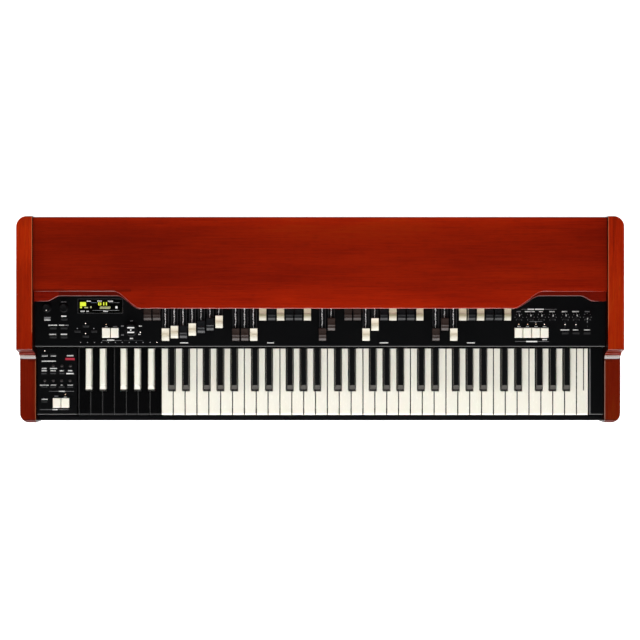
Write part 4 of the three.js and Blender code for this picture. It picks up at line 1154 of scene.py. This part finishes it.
BLOCK_MARKS = [
    (355.9, WHITE, WORD, [(41.9, 47.6), (50.7, 56.0)]),
    (355.7, WHITE, WORD, [(66.9, 73.8)]),
    (359.0, RED, 4.2, [(65.4, 74.8)]),
    (361.2, WHITE, WORD, [(41.9, 56.0)]),
    (368.5, WHITE, WORD, [(41.9, 46.9), (50.0, 57.0)]),
    (373.6, BRIGHT, BOLD, [(66.3, 73.8)]),
    (373.6, DIM, WORD, [(41.4, 47.0), (50.4, 56.0), (59.6, 64.6)]),
    (385.2, WHITE, WORD, [(40.0, 49.1), (50.7, 56.0), (60.7, 62.9), (67.6, 73.2)]),
    (391.3, GREY, RULE, [(49.0, 58.6)]),
    (391.3, WHITE, WORD, [(58.8, 65.0)]),
    (391.3, GREY, RULE, [(65.4, 74.0)]),
    (396.2, GREY, WORD, [(54.4, 58.4)]),
    (397.0, WHITE, WORD, [(63.8, 67.0)]),
    (399.3, WHITE, WORD, [(41.6, 47.9)]),
    (409.6, GREY, RULE, [(39.8, 52.0)]),
    (409.6, WHITE, WORD, [(52.3, 57.6)]),
    (409.6, GREY, RULE, [(58.0, 69.0)]),
]
BLOCK_CAP_MARKS = [
    (370.7, WHITE, WORD, [(41.6, 47.0), (50.6, 56.0), (59.8, 63.5), (68.2, 72.3)]),
]
DISPLAY_MARKS = [
    (304.1, LIT, 8.0, [(80.0, 86.0)]),
    (307.3, LIT, 3.2, [(80.0, 82.0)]),
    (307.6, LIT_SOFT, 2.2, [(84.4, 88.0)]),
    (307.2, LIT_SOFT, 3.4, [(90.2, 91.6)]),
    (302.9, LIT, 0.8, [(98.2, 101.2)]),
    (305.0, LIT, 1.2, [(98.2, 101.2)]),
    (303.8, LIT, 6.4, [(98.3, 99.3)]),
    (303.8, LIT, 5.0, [(100.3, 101.3)]),
    (303.8, LIT, 6.4, [(103.2, 104.3), (105.8, 106.9)]),
    (307.1, LIT_SOFT, WORD, [(99.8, 111.0)]),
    (308.3, LIT_SOFT, WORD, [(99.8, 110.6)]),
    (307.3, WHITE, 4.4, [(115.4, 117.6)]),
    (301.2, BRIGHT, WORD, [(86.8, 91.2)]),
    (301.0, WHITE, WORD, [(97.4, 101.8)]),
    (301.2, BRIGHT, WORD, [(108.0, 113.2)]),
    (302.7, BLUE, RULE, [(90.8, 98.0)]),
    (302.7, GREY, RULE, [(109.0, 119.3)]),
    (310.4, GREY, RULE, [(92.4, 119.3)]),
    (311.3, BRIGHT, WORD, [(80.5, 84.9)]),
    (311.3, WHITE, WORD, [(86.4, 89.0)]),
    (311.3, BRIGHT, WORD, [(103.3, 108.0)]),
]

# Rise of the button caps over the panel and the left block
CAP_RISE = 1.5 * MM

# Name, marks, height, slot and seed of each printed sheet
SHEETS = [
    ("panel_print", PANEL_MARKS, PANEL_TOP, "white_plastic", 11),
    ("block_print", BLOCK_MARKS, BLOCK_TOP, "white_plastic", 12),
    ("button_print", BLOCK_CAP_MARKS, BLOCK_TOP + CAP_RISE, "white_plastic", 14),
    ("display_marks", DISPLAY_MARKS, DISPLAY_TOP, "display_glass", 13),
]


def print_word(form, left, right, middle, base, ink, dice):
    x = left
    while x < right - BAR_WIDTHS[0]:
        width = min(dice.uniform(*BAR_WIDTHS), right - x)
        drop = dice.choice(BAR_DROPS) * WORD_HEIGHT
        form.pad((x + width / 2, middle - drop / 2), base, (width, WORD_HEIGHT - drop), PRINT_RISE, ink)
        x += width + dice.uniform(*BAR_GAPS)


def print_mark(form, left, right, y, base, ink, height, dice):
    if height == WORD:
        print_word(form, left, right, y, base, ink, dice)
    else:
        form.pad(((left + right) / 2, y), base, (right - left, height * MM), PRINT_RISE, ink)


def make_print(bench):
    for name, rows, base, slot, seed in SHEETS:
        form = Form()
        dice = random.Random(seed)
        for row, ink, height, spans in rows:
            for span in spans:
                left, right = (from_photo(pixel, row, base) for pixel in span)
                print_mark(form, left[0], right[0], left[1], base, ink, height, dice)
        bench.add(name, form, slot, is_smooth=False)


# Thin printed frame round the display window
BORDER_WIDTH = 0.45 * MM
BORDER_REACH = 1.2 * MM
BORDER_RISE = 0.25 * MM


def make_display_border(bench):
    low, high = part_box("display_window")
    size = (high.x - low.x + 2 * BORDER_REACH, high.y - low.y + 2 * BORDER_REACH)
    form = Form()
    form.border(middle_of("display_window"), size, BORDER_WIDTH, PANEL_TOP, PANEL_TOP + BORDER_RISE, DIM)
    bench.add("display_border", form, "panel_black", is_smooth=False)


# Lamps: a row along the front of the panel, and single ones by pixel column, pixel row and look
LAMP_ROW_START = 80.6
LAMP_ROW_STEP = 6.95
LAMP_ROW = 342.4
LAMP_ROW_LOOKS = ["lamp_dim"] * 11 + ["lamp_on"]
LAMP_RADIUS = 0.8 * MM
DOME_RADIUS = 2.3 * MM
DOME = [(1.0, 0.0), (0.97, 0.3), (0.8, 0.62), (0.5, 0.84), (0.2, 0.92)]
COLLAR_RADIUS_SHARE = 1.35
COLLAR_HEIGHT_SHARE = 0.3
PANEL_LAMPS = [
    (85.5, 323.5, "lamp_on"),
    (77.3, 328.5, "lamp_dim"),
    (93.9, 328.5, "lamp_dim"),
    (85.5, 333.5, "lamp_on"),
    (106.1, 324.4, "lamp_orange"),
    (140.3, 332.2, "lamp_on"),
    (518.8, 324.3, "lamp_orange"),
    (527.6, 324.3, "lamp_orange"),
    (536.0, 324.3, "lamp_orange"),
    (544.4, 324.3, "lamp_on"),
    (565.0, 324.6, "lamp_on"),
    (576.0, 324.6, "lamp_on"),
]
BLOCK_LAMPS = [
    (44.75, 350.9, "lamp_on"),
    (53.2, 366.0, "lamp_off"),
    (61.9, 366.0, "lamp_off"),
    (70.4, 366.0, "lamp_off"),
    (44.8, 380.7, "lamp_off"),
    (53.2, 380.7, "lamp_off"),
    (61.6, 380.7, "lamp_off"),
    (70.0, 380.7, "lamp_off"),
    (65.4, 394.4, "lamp_orange"),
]


def lamp(form, centre, base, radius, look):
    """Domed lens in a thin black collar."""
    rim = radius * COLLAR_RADIUS_SHARE
    form.hoop(centre, radius, rim, base, base + radius * COLLAR_HEIGHT_SHARE, "socket_black", SMALL_STEPS)
    form.turned(centre, [(radius * r, base + radius * z) for r, z in DOME], look, SMALL_STEPS)


def make_lamps(bench):
    row = [(LAMP_ROW_START + i * LAMP_ROW_STEP, LAMP_ROW, look) for i, look in enumerate(LAMP_ROW_LOOKS)]
    sheets = [("panel_lamps", PANEL_LAMPS + row, PANEL_TOP), ("block_lamps", BLOCK_LAMPS, BLOCK_TOP)]
    for name, lamps, base in sheets:
        form = Form()
        for column, pixel_row, look in lamps:
            radius = DOME_RADIUS if look == "lamp_off" else LAMP_RADIUS
            lamp(form, from_photo(column, pixel_row, base), base, radius, look)
        bench.add(name, form, "display_glass")


# Buttons: rubber caps over the bosses of the panel and of the left block
PANEL_FRONT = -51.9 * MM
BUTTON_SIZE = (13.0 * MM, 4.0 * MM)

# Width share of a button, and the places: shares of the panel's half width and of its open depth
PANEL_BUTTONS = [
    (1, [(-0.8975, 0.7185)]),
    (1, [(-0.936, 0.4843), (-0.8975, 0.4843), (-0.936, 0.2443), (-0.8975, 0.2443)]),
    (1, [(0.859, 0.3529), (0.897, 0.3529), (0.936, 0.3529)]),
    (0.95, [(-0.821, 0.5357), (-0.8505, 0.3974), (-0.792, 0.3974), (-0.821, 0.266)]),
]

# The same for the left block: shares of its width from its left and of its depth from its front
BLOCK_COLUMNS = [0.18, 0.4, 0.62, 0.83]
BLOCK_BUTTONS = [
    (0.88, [(across, 0.845) for across in BLOCK_COLUMNS[:2]]),
    (0.88, [(across, along) for along in (0.615, 0.393) for across in BLOCK_COLUMNS]),
    (0.88, [(BLOCK_COLUMNS[0], 0.185)]),
]


def panel_place(across, along):
    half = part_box("control_panel")[1].x
    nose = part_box("top_lid")[0].y
    return across * half, PANEL_FRONT + along * (nose - PANEL_FRONT)


def block_place(across, along):
    low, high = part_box("left_control_block")
    return low.x + across * (high.x - low.x), low.y + along * (high.y - low.y)


def make_buttons(bench):
    sheets = [
        ("panel_buttons", PANEL_BUTTONS, panel_place, PANEL_TOP),
        ("block_buttons", BLOCK_BUTTONS, block_place, BLOCK_TOP),
    ]
    for name, buttons, place_of, base in sheets:
        form = Form()
        for share, places in buttons:
            size = (BUTTON_SIZE[0] * share, BUTTON_SIZE[1])
            for shares in places:
                form.pad(place_of(*shares), base, size, CAP_RISE, "button_rubber", SOFT_CORNER, CORNER_STEPS)
        bench.add(name, form, "black_plastic")


# Bead along the panel's front edge, pale grey as a painted highlight of that edge: places over the panel's
# front and the bead's top, in millimetres
TRIM_INSET = 1 * MM
BEAD_TOP = 96.6 * MM
BEAD_PROFILE = [(0.2, -1.2), (0.2, -0.1), (-0.2, 0.0), (-0.6, -0.3), (-0.7, -0.7), (-0.5, -1.1)]


def make_bead(bench):
    low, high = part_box("control_panel")
    rings = []
    for x in (low.x + TRIM_INSET, high.x - TRIM_INSET):
        rings.append([(x, PANEL_FRONT + y * MM, BEAD_TOP + z * MM) for y, z in BEAD_PROFILE])
    form = Form()
    form.skin(rings, "bead_paint")
    bench.add("panel_bead", form, "panel_black")


# Felt strip on the toe of the panel, over the keys, whose matt black also paints the shade under the panel's
# front edge
TOE_TOP = 80 * MM
FELT_GAP = 0.2 * MM
FELT_DEPTH = 4.5 * MM
FELT_RISE = 1.2 * MM
FELT_STEPS = 300
FELT_FRAY = 0.12 * MM
FELT_SEED = 17


def make_shade_felt(bench):
    """Soft strip whose front and top wander a little."""
    dice = random.Random(FELT_SEED)
    low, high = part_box("control_panel")
    start = low.x + TRIM_INSET
    length = high.x - low.x - 2 * TRIM_INSET
    back = PANEL_FRONT - FELT_GAP
    corner = FELT_RISE / 2
    rings = []
    for index in range(FELT_STEPS + 1):
        x = start + length * index / FELT_STEPS
        front = back - FELT_DEPTH + dice.uniform(-FELT_FRAY, FELT_FRAY)
        top = TOE_TOP + FELT_RISE + dice.uniform(-FELT_FRAY, FELT_FRAY) / 2
        bevel = [(front + corner, top), (front, top - corner)]
        section = [(back, TOE_TOP), (back, top), *bevel, (front, TOE_TOP)]
        rings.append([(x, y, z) for y, z in section])
    form = Form()
    form.skin(rings, "black_shade_felt")
    bench.add("nameboard_felt", form, "foot_rubber")


# Knobs: radius, height above the panel and count of ribs
DIAL = (9 * MM, 12 * MM, 30)
SELECTOR = (12.8 * MM, 13 * MM, 36)
SHAFT_RADIUS = 3 * MM
SHAFT_BOTTOM = -9 * MM
KNOB_GAP = 0.3 * MM
RIB_DEPTH = 0.35 * MM
DISH = 0.25 * MM

# Inset from the radius, height over the panel and share of the ribs: of the skirt, then of the
# grip, whose heights count from the knob's top. Millimetres
SKIRT_PROFILE = [(0.4, 0.3, 0), (0, 0.8, 0), (0, 1.8, 0), (0.7, 2.6, 1)]
GRIP_PROFILE = [(1.0, -1.6, 1), (1.5, -0.5, 0), (2.3, 0, 0), (3.1, -0.25, 0)]
DOT_RADIUS = 1.1 * MM
DOT_REACH = 4.6 * MM
DOT_TAPER = 0.8
DOT_STEPS = 16
# Two bright bars on the vibrato knob's top are painted highlights; a mark lies between them
GRIP_HIGHLIGHT = (13.6 * MM, 2.6 * MM)
INLAY_MIDDLE = (2.6 * MM, 2.6 * MM)
GRIP_HIGHLIGHT_OFFSET = 4.6 * MM
INLAY_RISE = 0.2 * MM


def knob_body(form, centre, radius, height, ribs):
    """Shaft, skirt, ribbed grip and a dished top. Gives the level of the dish."""
    shaft = [(SHAFT_RADIUS, PANEL_TOP + SHAFT_BOTTOM), (SHAFT_RADIUS, PANEL_TOP + KNOB_GAP)]
    form.turned(centre, shaft, "nickel")
    profile = []
    for level, part in [(PANEL_TOP, SKIRT_PROFILE), (PANEL_TOP + height, GRIP_PROFILE)]:
        profile += [(radius - inset * MM, level + z * MM, share) for inset, z, share in part]
    form.ribbed(centre, profile, "knob_black", ribs)
    return PANEL_TOP + height - DISH


def mark_volume(form, centre, top):
    dot = (centre[0], centre[1] - DOT_REACH)
    form.turned(dot, [(DOT_RADIUS, top), (DOT_RADIUS * DOT_TAPER, top + INLAY_RISE)], BRIGHT, DOT_STEPS)


def mark_vibrato(form, centre, top):
    # Painted highlights as two bright bars, and a white mark between them
    for side in (-1, 1):
        bar = (centre[0], centre[1] + side * GRIP_HIGHLIGHT_OFFSET)
        form.pad(bar, top, GRIP_HIGHLIGHT, INLAY_RISE, BRIGHT, SOFT_CORNER, CORNER_STEPS)
    form.pad(centre, top, INLAY_MIDDLE, INLAY_RISE, WHITE)


def make_knobs(bench):
    knobs = [
        ("volume_knob", DIAL, mark_volume),
        ("value_knob", DIAL, None),
        ("vibrato_knob", SELECTOR, mark_vibrato),
    ]
    for name, sizes, mark in knobs:
        form = Form()
        top = knob_body(form, middle_of(name), *sizes)
        if mark:
            mark(form, middle_of(name), top)
        piece = bench.add(name + "_grip", form, "black_plastic", name)
        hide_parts(name)


# Seven small knobs at the right, each with its pointer and its ring of dots
TRIMMER_SHARES = [0.6968, 0.7367, 0.7752, 0.8144, 0.8595, 0.8982, 0.9369]
TRIMMER_ALONG_SHARE = 0.7738
TRIMMER_ANGLES = [0, 0, 0, 0, 0, 0, 205]
TRIMMER_PROFILE = [
    (6.1, 0.0, 0),
    (6.1, 1.4, 0),
    (5.95, 2.0, 1),
    (5.5, 9.2, 1),
    (5.0, 10.2, 0),
    (4.2, 10.4, 0),
]
TRIMMER_TOP = 10.4 * MM
TRIMMER_RIBS = 18
POINTER_WIDTH = 1.1 * MM
POINTER_REACHES = (1.6 * MM, 5.0 * MM)
TICK_RADIUS = 7.6 * MM
TICK_SIZE = 0.75 * MM
TICK_TAPER = 0.9
TICK_STEPS = 8
TICK_COUNT = 7
TICK_SWEEP = 270


def fan(centre, reach, count, middle, sweep):
    """Points in an arc round a centre, evenly over a sweep to both sides of a clock angle."""
    angles = [middle + sweep * (index / (count - 1) - 0.5) for index in range(count)]
    return [turned_point(centre, reach, angle) for angle in angles]


def make_trimmers(bench):
    knobs, ticks = Form(), Form()
    profile = [(radius * MM, PANEL_TOP + height * MM, share) for radius, height, share in TRIMMER_PROFILE]
    dot = [(TICK_SIZE, PANEL_TOP), (TICK_SIZE * TICK_TAPER, PANEL_TOP + PRINT_RISE)]
    for across, degrees in zip(TRIMMER_SHARES, TRIMMER_ANGLES):
        centre = panel_place(across, TRIMMER_ALONG_SHARE)
        knobs.ribbed(centre, profile, "knob_black", TRIMMER_RIBS)
        ends = [turned_point(centre, reach, degrees) for reach in POINTER_REACHES]
        knobs.stroke(ends, POINTER_WIDTH, PANEL_TOP + TRIMMER_TOP, INLAY_RISE, BRIGHT)
        for place in fan(centre, TICK_RADIUS, TICK_COUNT, 0, TICK_SWEEP):
            ticks.turned(place, dot, GREY, TICK_STEPS)
    bench.add("trimmer_knobs", knobs, "black_plastic")
    bench.add("trimmer_ticks", ticks, "white_plastic", is_smooth=False)


# Drawbar scales: numerals in plain strokes and two painted highlights along the long edges of each stem
DIGIT_STROKES = {
    1: [[(0.15, 0.75), (0.5, 1), (0.5, 0)]],
    2: [[(0, 1), (1, 1), (1, 0.5), (0, 0.5), (0, 0), (1, 0)]],
    3: [[(0, 1), (1, 1), (1, 0), (0, 0)], [(0.2, 0.5), (0.85, 0.5)]],
    4: [[(0, 1), (0, 0.5), (0.85, 0.5)], [(1, 1), (1, 0)]],
    5: [[(1, 1), (0, 1), (0, 0.5), (1, 0.5), (1, 0), (0, 0)]],
    6: [[(1, 1), (0, 1), (0, 0), (1, 0), (1, 0.5), (0.15, 0.5)]],
    7: [[(0, 1), (1, 1), (0.35, 0)]],
    8: [[(0, 0.02), (0, 1), (1, 1), (1, 0), (0.1, 0)], [(0.15, 0.5), (0.85, 0.5)]],
}
DIGIT_SIZE = (1.2 * MM, 3.6 * MM)
DIGIT_STROKE = 0.7 * MM
DIGIT_START = 0.9 * MM
DIGIT_OFFSET = -0.8 * MM
SCALE_RISE = 0.06 * MM
STEM_GLINT_OFFSET = 5.7 * MM
STEM_GLINT_SIZE = (0.45 * MM, 41 * MM)
STEM_GLINT_START = 0.6 * MM
STEM_GLINT_CORNER = 0.1 * MM


def scale_form():
    """Numerals 1 to 8 from the cap backwards, and a thin painted highlight along each side."""
    form = Form()
    width, height = DIGIT_SIZE
    for number, strokes in DIGIT_STROKES.items():
        base_y = DIGIT_START + (number - 1) * BAR_STEP
        for path in strokes:
            points = [((x - 0.5) * width + DIGIT_OFFSET, base_y + y * height) for x, y in path]
            form.stroke(points, DIGIT_STROKE, 0, SCALE_RISE, SCALE_WHITE)
    for side in (-1, 1):
        glint = (side * STEM_GLINT_OFFSET, STEM_GLINT_START + STEM_GLINT_SIZE[1] / 2)
        form.pad(glint, 0, STEM_GLINT_SIZE, SCALE_RISE, DIM, STEM_GLINT_CORNER)
    return form


def make_scales(bench):
    mesh = bench.mesh("drawbar_scale", scale_form())
    for name in sorted(frame["nodes"]):
        if name.startswith("drawbar") and name != "drawbar_frame":
            location = (middle_of(name)[0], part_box(name)[0].y + CAP_LENGTH, STEM_TOP)
            bench.place(name + "_scale", mesh, "white_plastic", name, False, location)


# Rear sockets, in millimetres: rings, inserts and pins, drawn upright and turned to face back
SOCKET_PROUD = 1.2 * MM
SOCKET_FLOOR = 0.1
SHELL_PROUD = 0.2

# Inner and outer radius, low and high level over the socket, and flats of the rim
JACK_RINGS = [(3.5, 7.4, 0, 0.5, 32, 0), (3.6, 6.6, 0.5, 2.3, 36, 6), (3.1, 3.6, 0.5, 2.8, 32, 0)]

# Count, radius and sweep of the pins, and the shell's radius
PIN_SOCKETS = {"din": (5, 4.0, 180, 6.5), "multi": (8, 6.4, 300, 10.3)}
PIN_SOCKET_DEPTH = 8
PIN_PROFILE = [(0.75, 3), (0.75, 5.6), (0.375, 6)]
SHELL_WALL = 0.6
INSERT_RISE = 3
INSERT_BEVEL = 0.3
INLET_DEPTH = 15
BLADE_PLACES = [(-7.0, -1.5), (7.0, -1.5), (0, 2.5)]
BLADE = (2.0 * MM, 5.6 * MM)
BLADE_LENGTH = 11 * MM
BLADE_CORNER = 0.4 * MM
DATA_SHELL = (8.6 * MM, 8.6 * MM)
DATA_WALL = 0.4 * MM
TONGUE = (5.6 * MM, 2.4 * MM)
TONGUE_LENGTH = 6 * MM
TONGUE_CORNER = 0.3 * MM
LABEL_RISE = 20 * MM
LABEL_REACH = 6 * MM
LABEL_SEED = 21


def rear_sockets():
    """Kind and flat place, seen from behind, of each socket."""
    found = []
    for opening in frame["record"]["physics"]["openings"]:
        low, high = opening["box_m"]
        kind = opening["name"].split("_")[0]
        found.append((kind, ((low[0] + high[0]) / 2, -(low[2] + high[2]) / 2)))
    return found


def jack_ring(form, place, mouth):
    for inner, outer, low, high, steps, flats in JACK_RINGS:
        levels = (mouth + low * MM, mouth + high * MM)
        form.hoop(place, inner * MM, outer * MM, *levels, "nickel", steps, flats)


def pin_socket(form, place, mouth, count, radius, sweep, shell):
    """Metal shell with an insert and its pins in an arc."""
    floor = mouth + (SOCKET_FLOOR - PIN_SOCKET_DEPTH) * MM
    form.hoop(place, (shell - SHELL_WALL) * MM, shell * MM, floor, mouth + SHELL_PROUD * MM, "nickel")
    insert = shell - 2 * SHELL_WALL
    profile = [(insert, 0), (insert, INSERT_RISE), (insert - INSERT_BEVEL, INSERT_RISE + INSERT_BEVEL)]
    form.turned(place, [(r * MM, floor + z * MM) for r, z in profile], "socket_black")
    for pin in fan(place, radius * MM, count, 180, sweep):
        form.turned(pin, [(r * MM, floor + z * MM) for r, z in PIN_PROFILE], "nickel", SMALL_STEPS)


def mains_inlet(form, place, mouth):
    floor = mouth + (SOCKET_FLOOR - INLET_DEPTH) * MM
    for shift_x, shift_y in BLADE_PLACES:
        centre = (place[0] + shift_x * MM, place[1] + shift_y * MM)
        form.pad(centre, floor, BLADE, BLADE_LENGTH, "nickel", BLADE_CORNER, CORNER_STEPS)


def data_socket(form, place, mouth):
    floor = mouth + (SOCKET_FLOOR - PIN_SOCKET_DEPTH) * MM
    form.border(place, DATA_SHELL, DATA_WALL, floor, mouth + SHELL_PROUD * MM, "nickel")
    form.pad(place, floor, TONGUE, TONGUE_LENGTH, "socket_black", TONGUE_CORNER, CORNER_STEPS)


def make_rear(bench):
    fittings, labels = Form(TO_REAR), Form(TO_REAR)
    dice = random.Random(LABEL_SEED)
    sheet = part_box("rear_panel")[1].y
    mouth = sheet + SOCKET_PROUD
    for kind, place in rear_sockets():
        if kind in PIN_SOCKETS:
            pin_socket(fittings, place, mouth, *PIN_SOCKETS[kind])
        else:
            maker = {"jack": jack_ring, "mains": mains_inlet}.get(kind, data_socket)
            maker(fittings, place, mouth)
        row = place[1] - LABEL_RISE
        print_word(labels, place[0] - LABEL_REACH, place[0] + LABEL_REACH, row, sheet, WHITE, dice)
    bench.add("socket_fittings", fittings, "dark_steel")
    bench.add("rear_print", labels, "white_plastic", is_smooth=False)


# Screws: pan heads with a cross recess, whose shade is painted as a dark raised cross. Sizes are shares of
# the radius.
SCREW_RADIUS = 3.2 * MM
SCREW_PROFILE = [(1.0, 0.0), (1.0, 0.25), (0.85, 0.5), (0.55, 0.62), (0.3, 0.66)]
SCREW_STEPS = 20
CROSS_LEVEL = 0.64
CROSS_REACH = 0.42
CROSS_WIDTH = 0.7 * MM
CROSS_RISE = 0.15 * MM
REAR_SCREW_COLUMNS = 7
REAR_SCREW_INSET = 14 * MM
REAR_SCREW_EDGE = 7 * MM
BASE_SCREW_INSET = 12 * MM
BASE_SCREW_COLUMNS = 6
SCREW_SEED = 31


def screw(form, centre, base, degrees):
    profile = [(SCREW_RADIUS * r, base + SCREW_RADIUS * z) for r, z in SCREW_PROFILE]
    form.turned(centre, profile, "screw_steel", SCREW_STEPS)
    top = base + SCREW_RADIUS * CROSS_LEVEL
    for turn in (degrees, degrees + 90):
        ends = [turned_point(centre, SCREW_RADIUS * CROSS_REACH, turn + half) for half in (0, 180)]
        form.stroke(ends, CROSS_WIDTH, top, CROSS_RISE, "socket_black")


def screw_columns(low, high, count, inset):
    """Places across a piece, evenly from inset to inset."""
    return [low.x + inset + index / (count - 1) * (high.x - low.x - 2 * inset) for index in range(count)]


def make_screws(bench):
    dice = random.Random(SCREW_SEED)
    low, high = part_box("rear_panel")
    rear = Form(TO_REAR)
    for x in screw_columns(low, high, REAR_SCREW_COLUMNS, REAR_SCREW_INSET):
        for z in (low.z + REAR_SCREW_EDGE, high.z - REAR_SCREW_EDGE):
            screw(rear, (x, -z), high.y, dice.uniform(0, 90))
    bench.add("rear_screws", rear, "dark_steel")
    low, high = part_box("bottom_chassis")
    base = Form(TO_FLOOR)
    for x in screw_columns(low, high, BASE_SCREW_COLUMNS, BASE_SCREW_INSET):
        for y in (low.y + BASE_SCREW_INSET, (low.y + high.y) / 2, high.y - BASE_SCREW_INSET):
            screw(base, (x, -y), -low.z, dice.uniform(0, 90))
    bench.add("base_screws", base, "dark_steel")


# Power switch: a line on the half that tilts out and a ring on the flush half
ROCKER_FACE = 1 * MM
ROCKER_TILT = 12
RING_OFFSET = 3.2 * MM
RING_RADIUS = 1.6 * MM
RING_WIDTH = 0.5 * MM
LINE_REACHES = (-1.8 * MM, -4.8 * MM)
LINE_WIDTH = 0.6 * MM


def make_switch_marks(bench):
    low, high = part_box("power_switch")
    middle = middle_of("power_switch")[0]
    fold = (low.z + high.z) / 2
    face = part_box("rear_panel")[1].y + ROCKER_FACE
    ring = Form(TO_REAR)
    centre = (middle, RING_OFFSET - fold)
    ring.hoop(centre, RING_RADIUS - RING_WIDTH, RING_RADIUS, face, face + PRINT_RISE, WHITE)
    bench.add("switch_ring_mark", ring, "white_plastic", "power_switch")
    tilt = Matrix.Rotation(math.radians(-ROCKER_TILT), 4, "X")
    line = Form(Matrix.Translation((0, face, fold)) @ tilt @ TO_REAR)
    line.stroke([(middle, y) for y in LINE_REACHES], LINE_WIDTH, 0, PRINT_RISE, WHITE)
    bench.add("switch_line_mark", line, "white_plastic", "power_switch", is_smooth=False)


# Makers of the looks and of the small pieces, in the order in which they run
MAKERS = [
    dress_frame,
    make_print,
    make_display_border,
    make_lamps,
    make_buttons,
    make_bead,
    make_shade_felt,
    make_knobs,
    make_trimmers,
    make_scales,
    make_rear,
    make_screws,
    make_switch_marks,
]


def main():
    make_camera()
    make_world()
    for softbox in SOFTBOXES:
        make_softbox(*softbox)
    make_floor()
    bench = Bench()
    for make in MAKERS:
        make(bench)


main()
bpy.context.scene.view_settings.view_transform = "Standard"
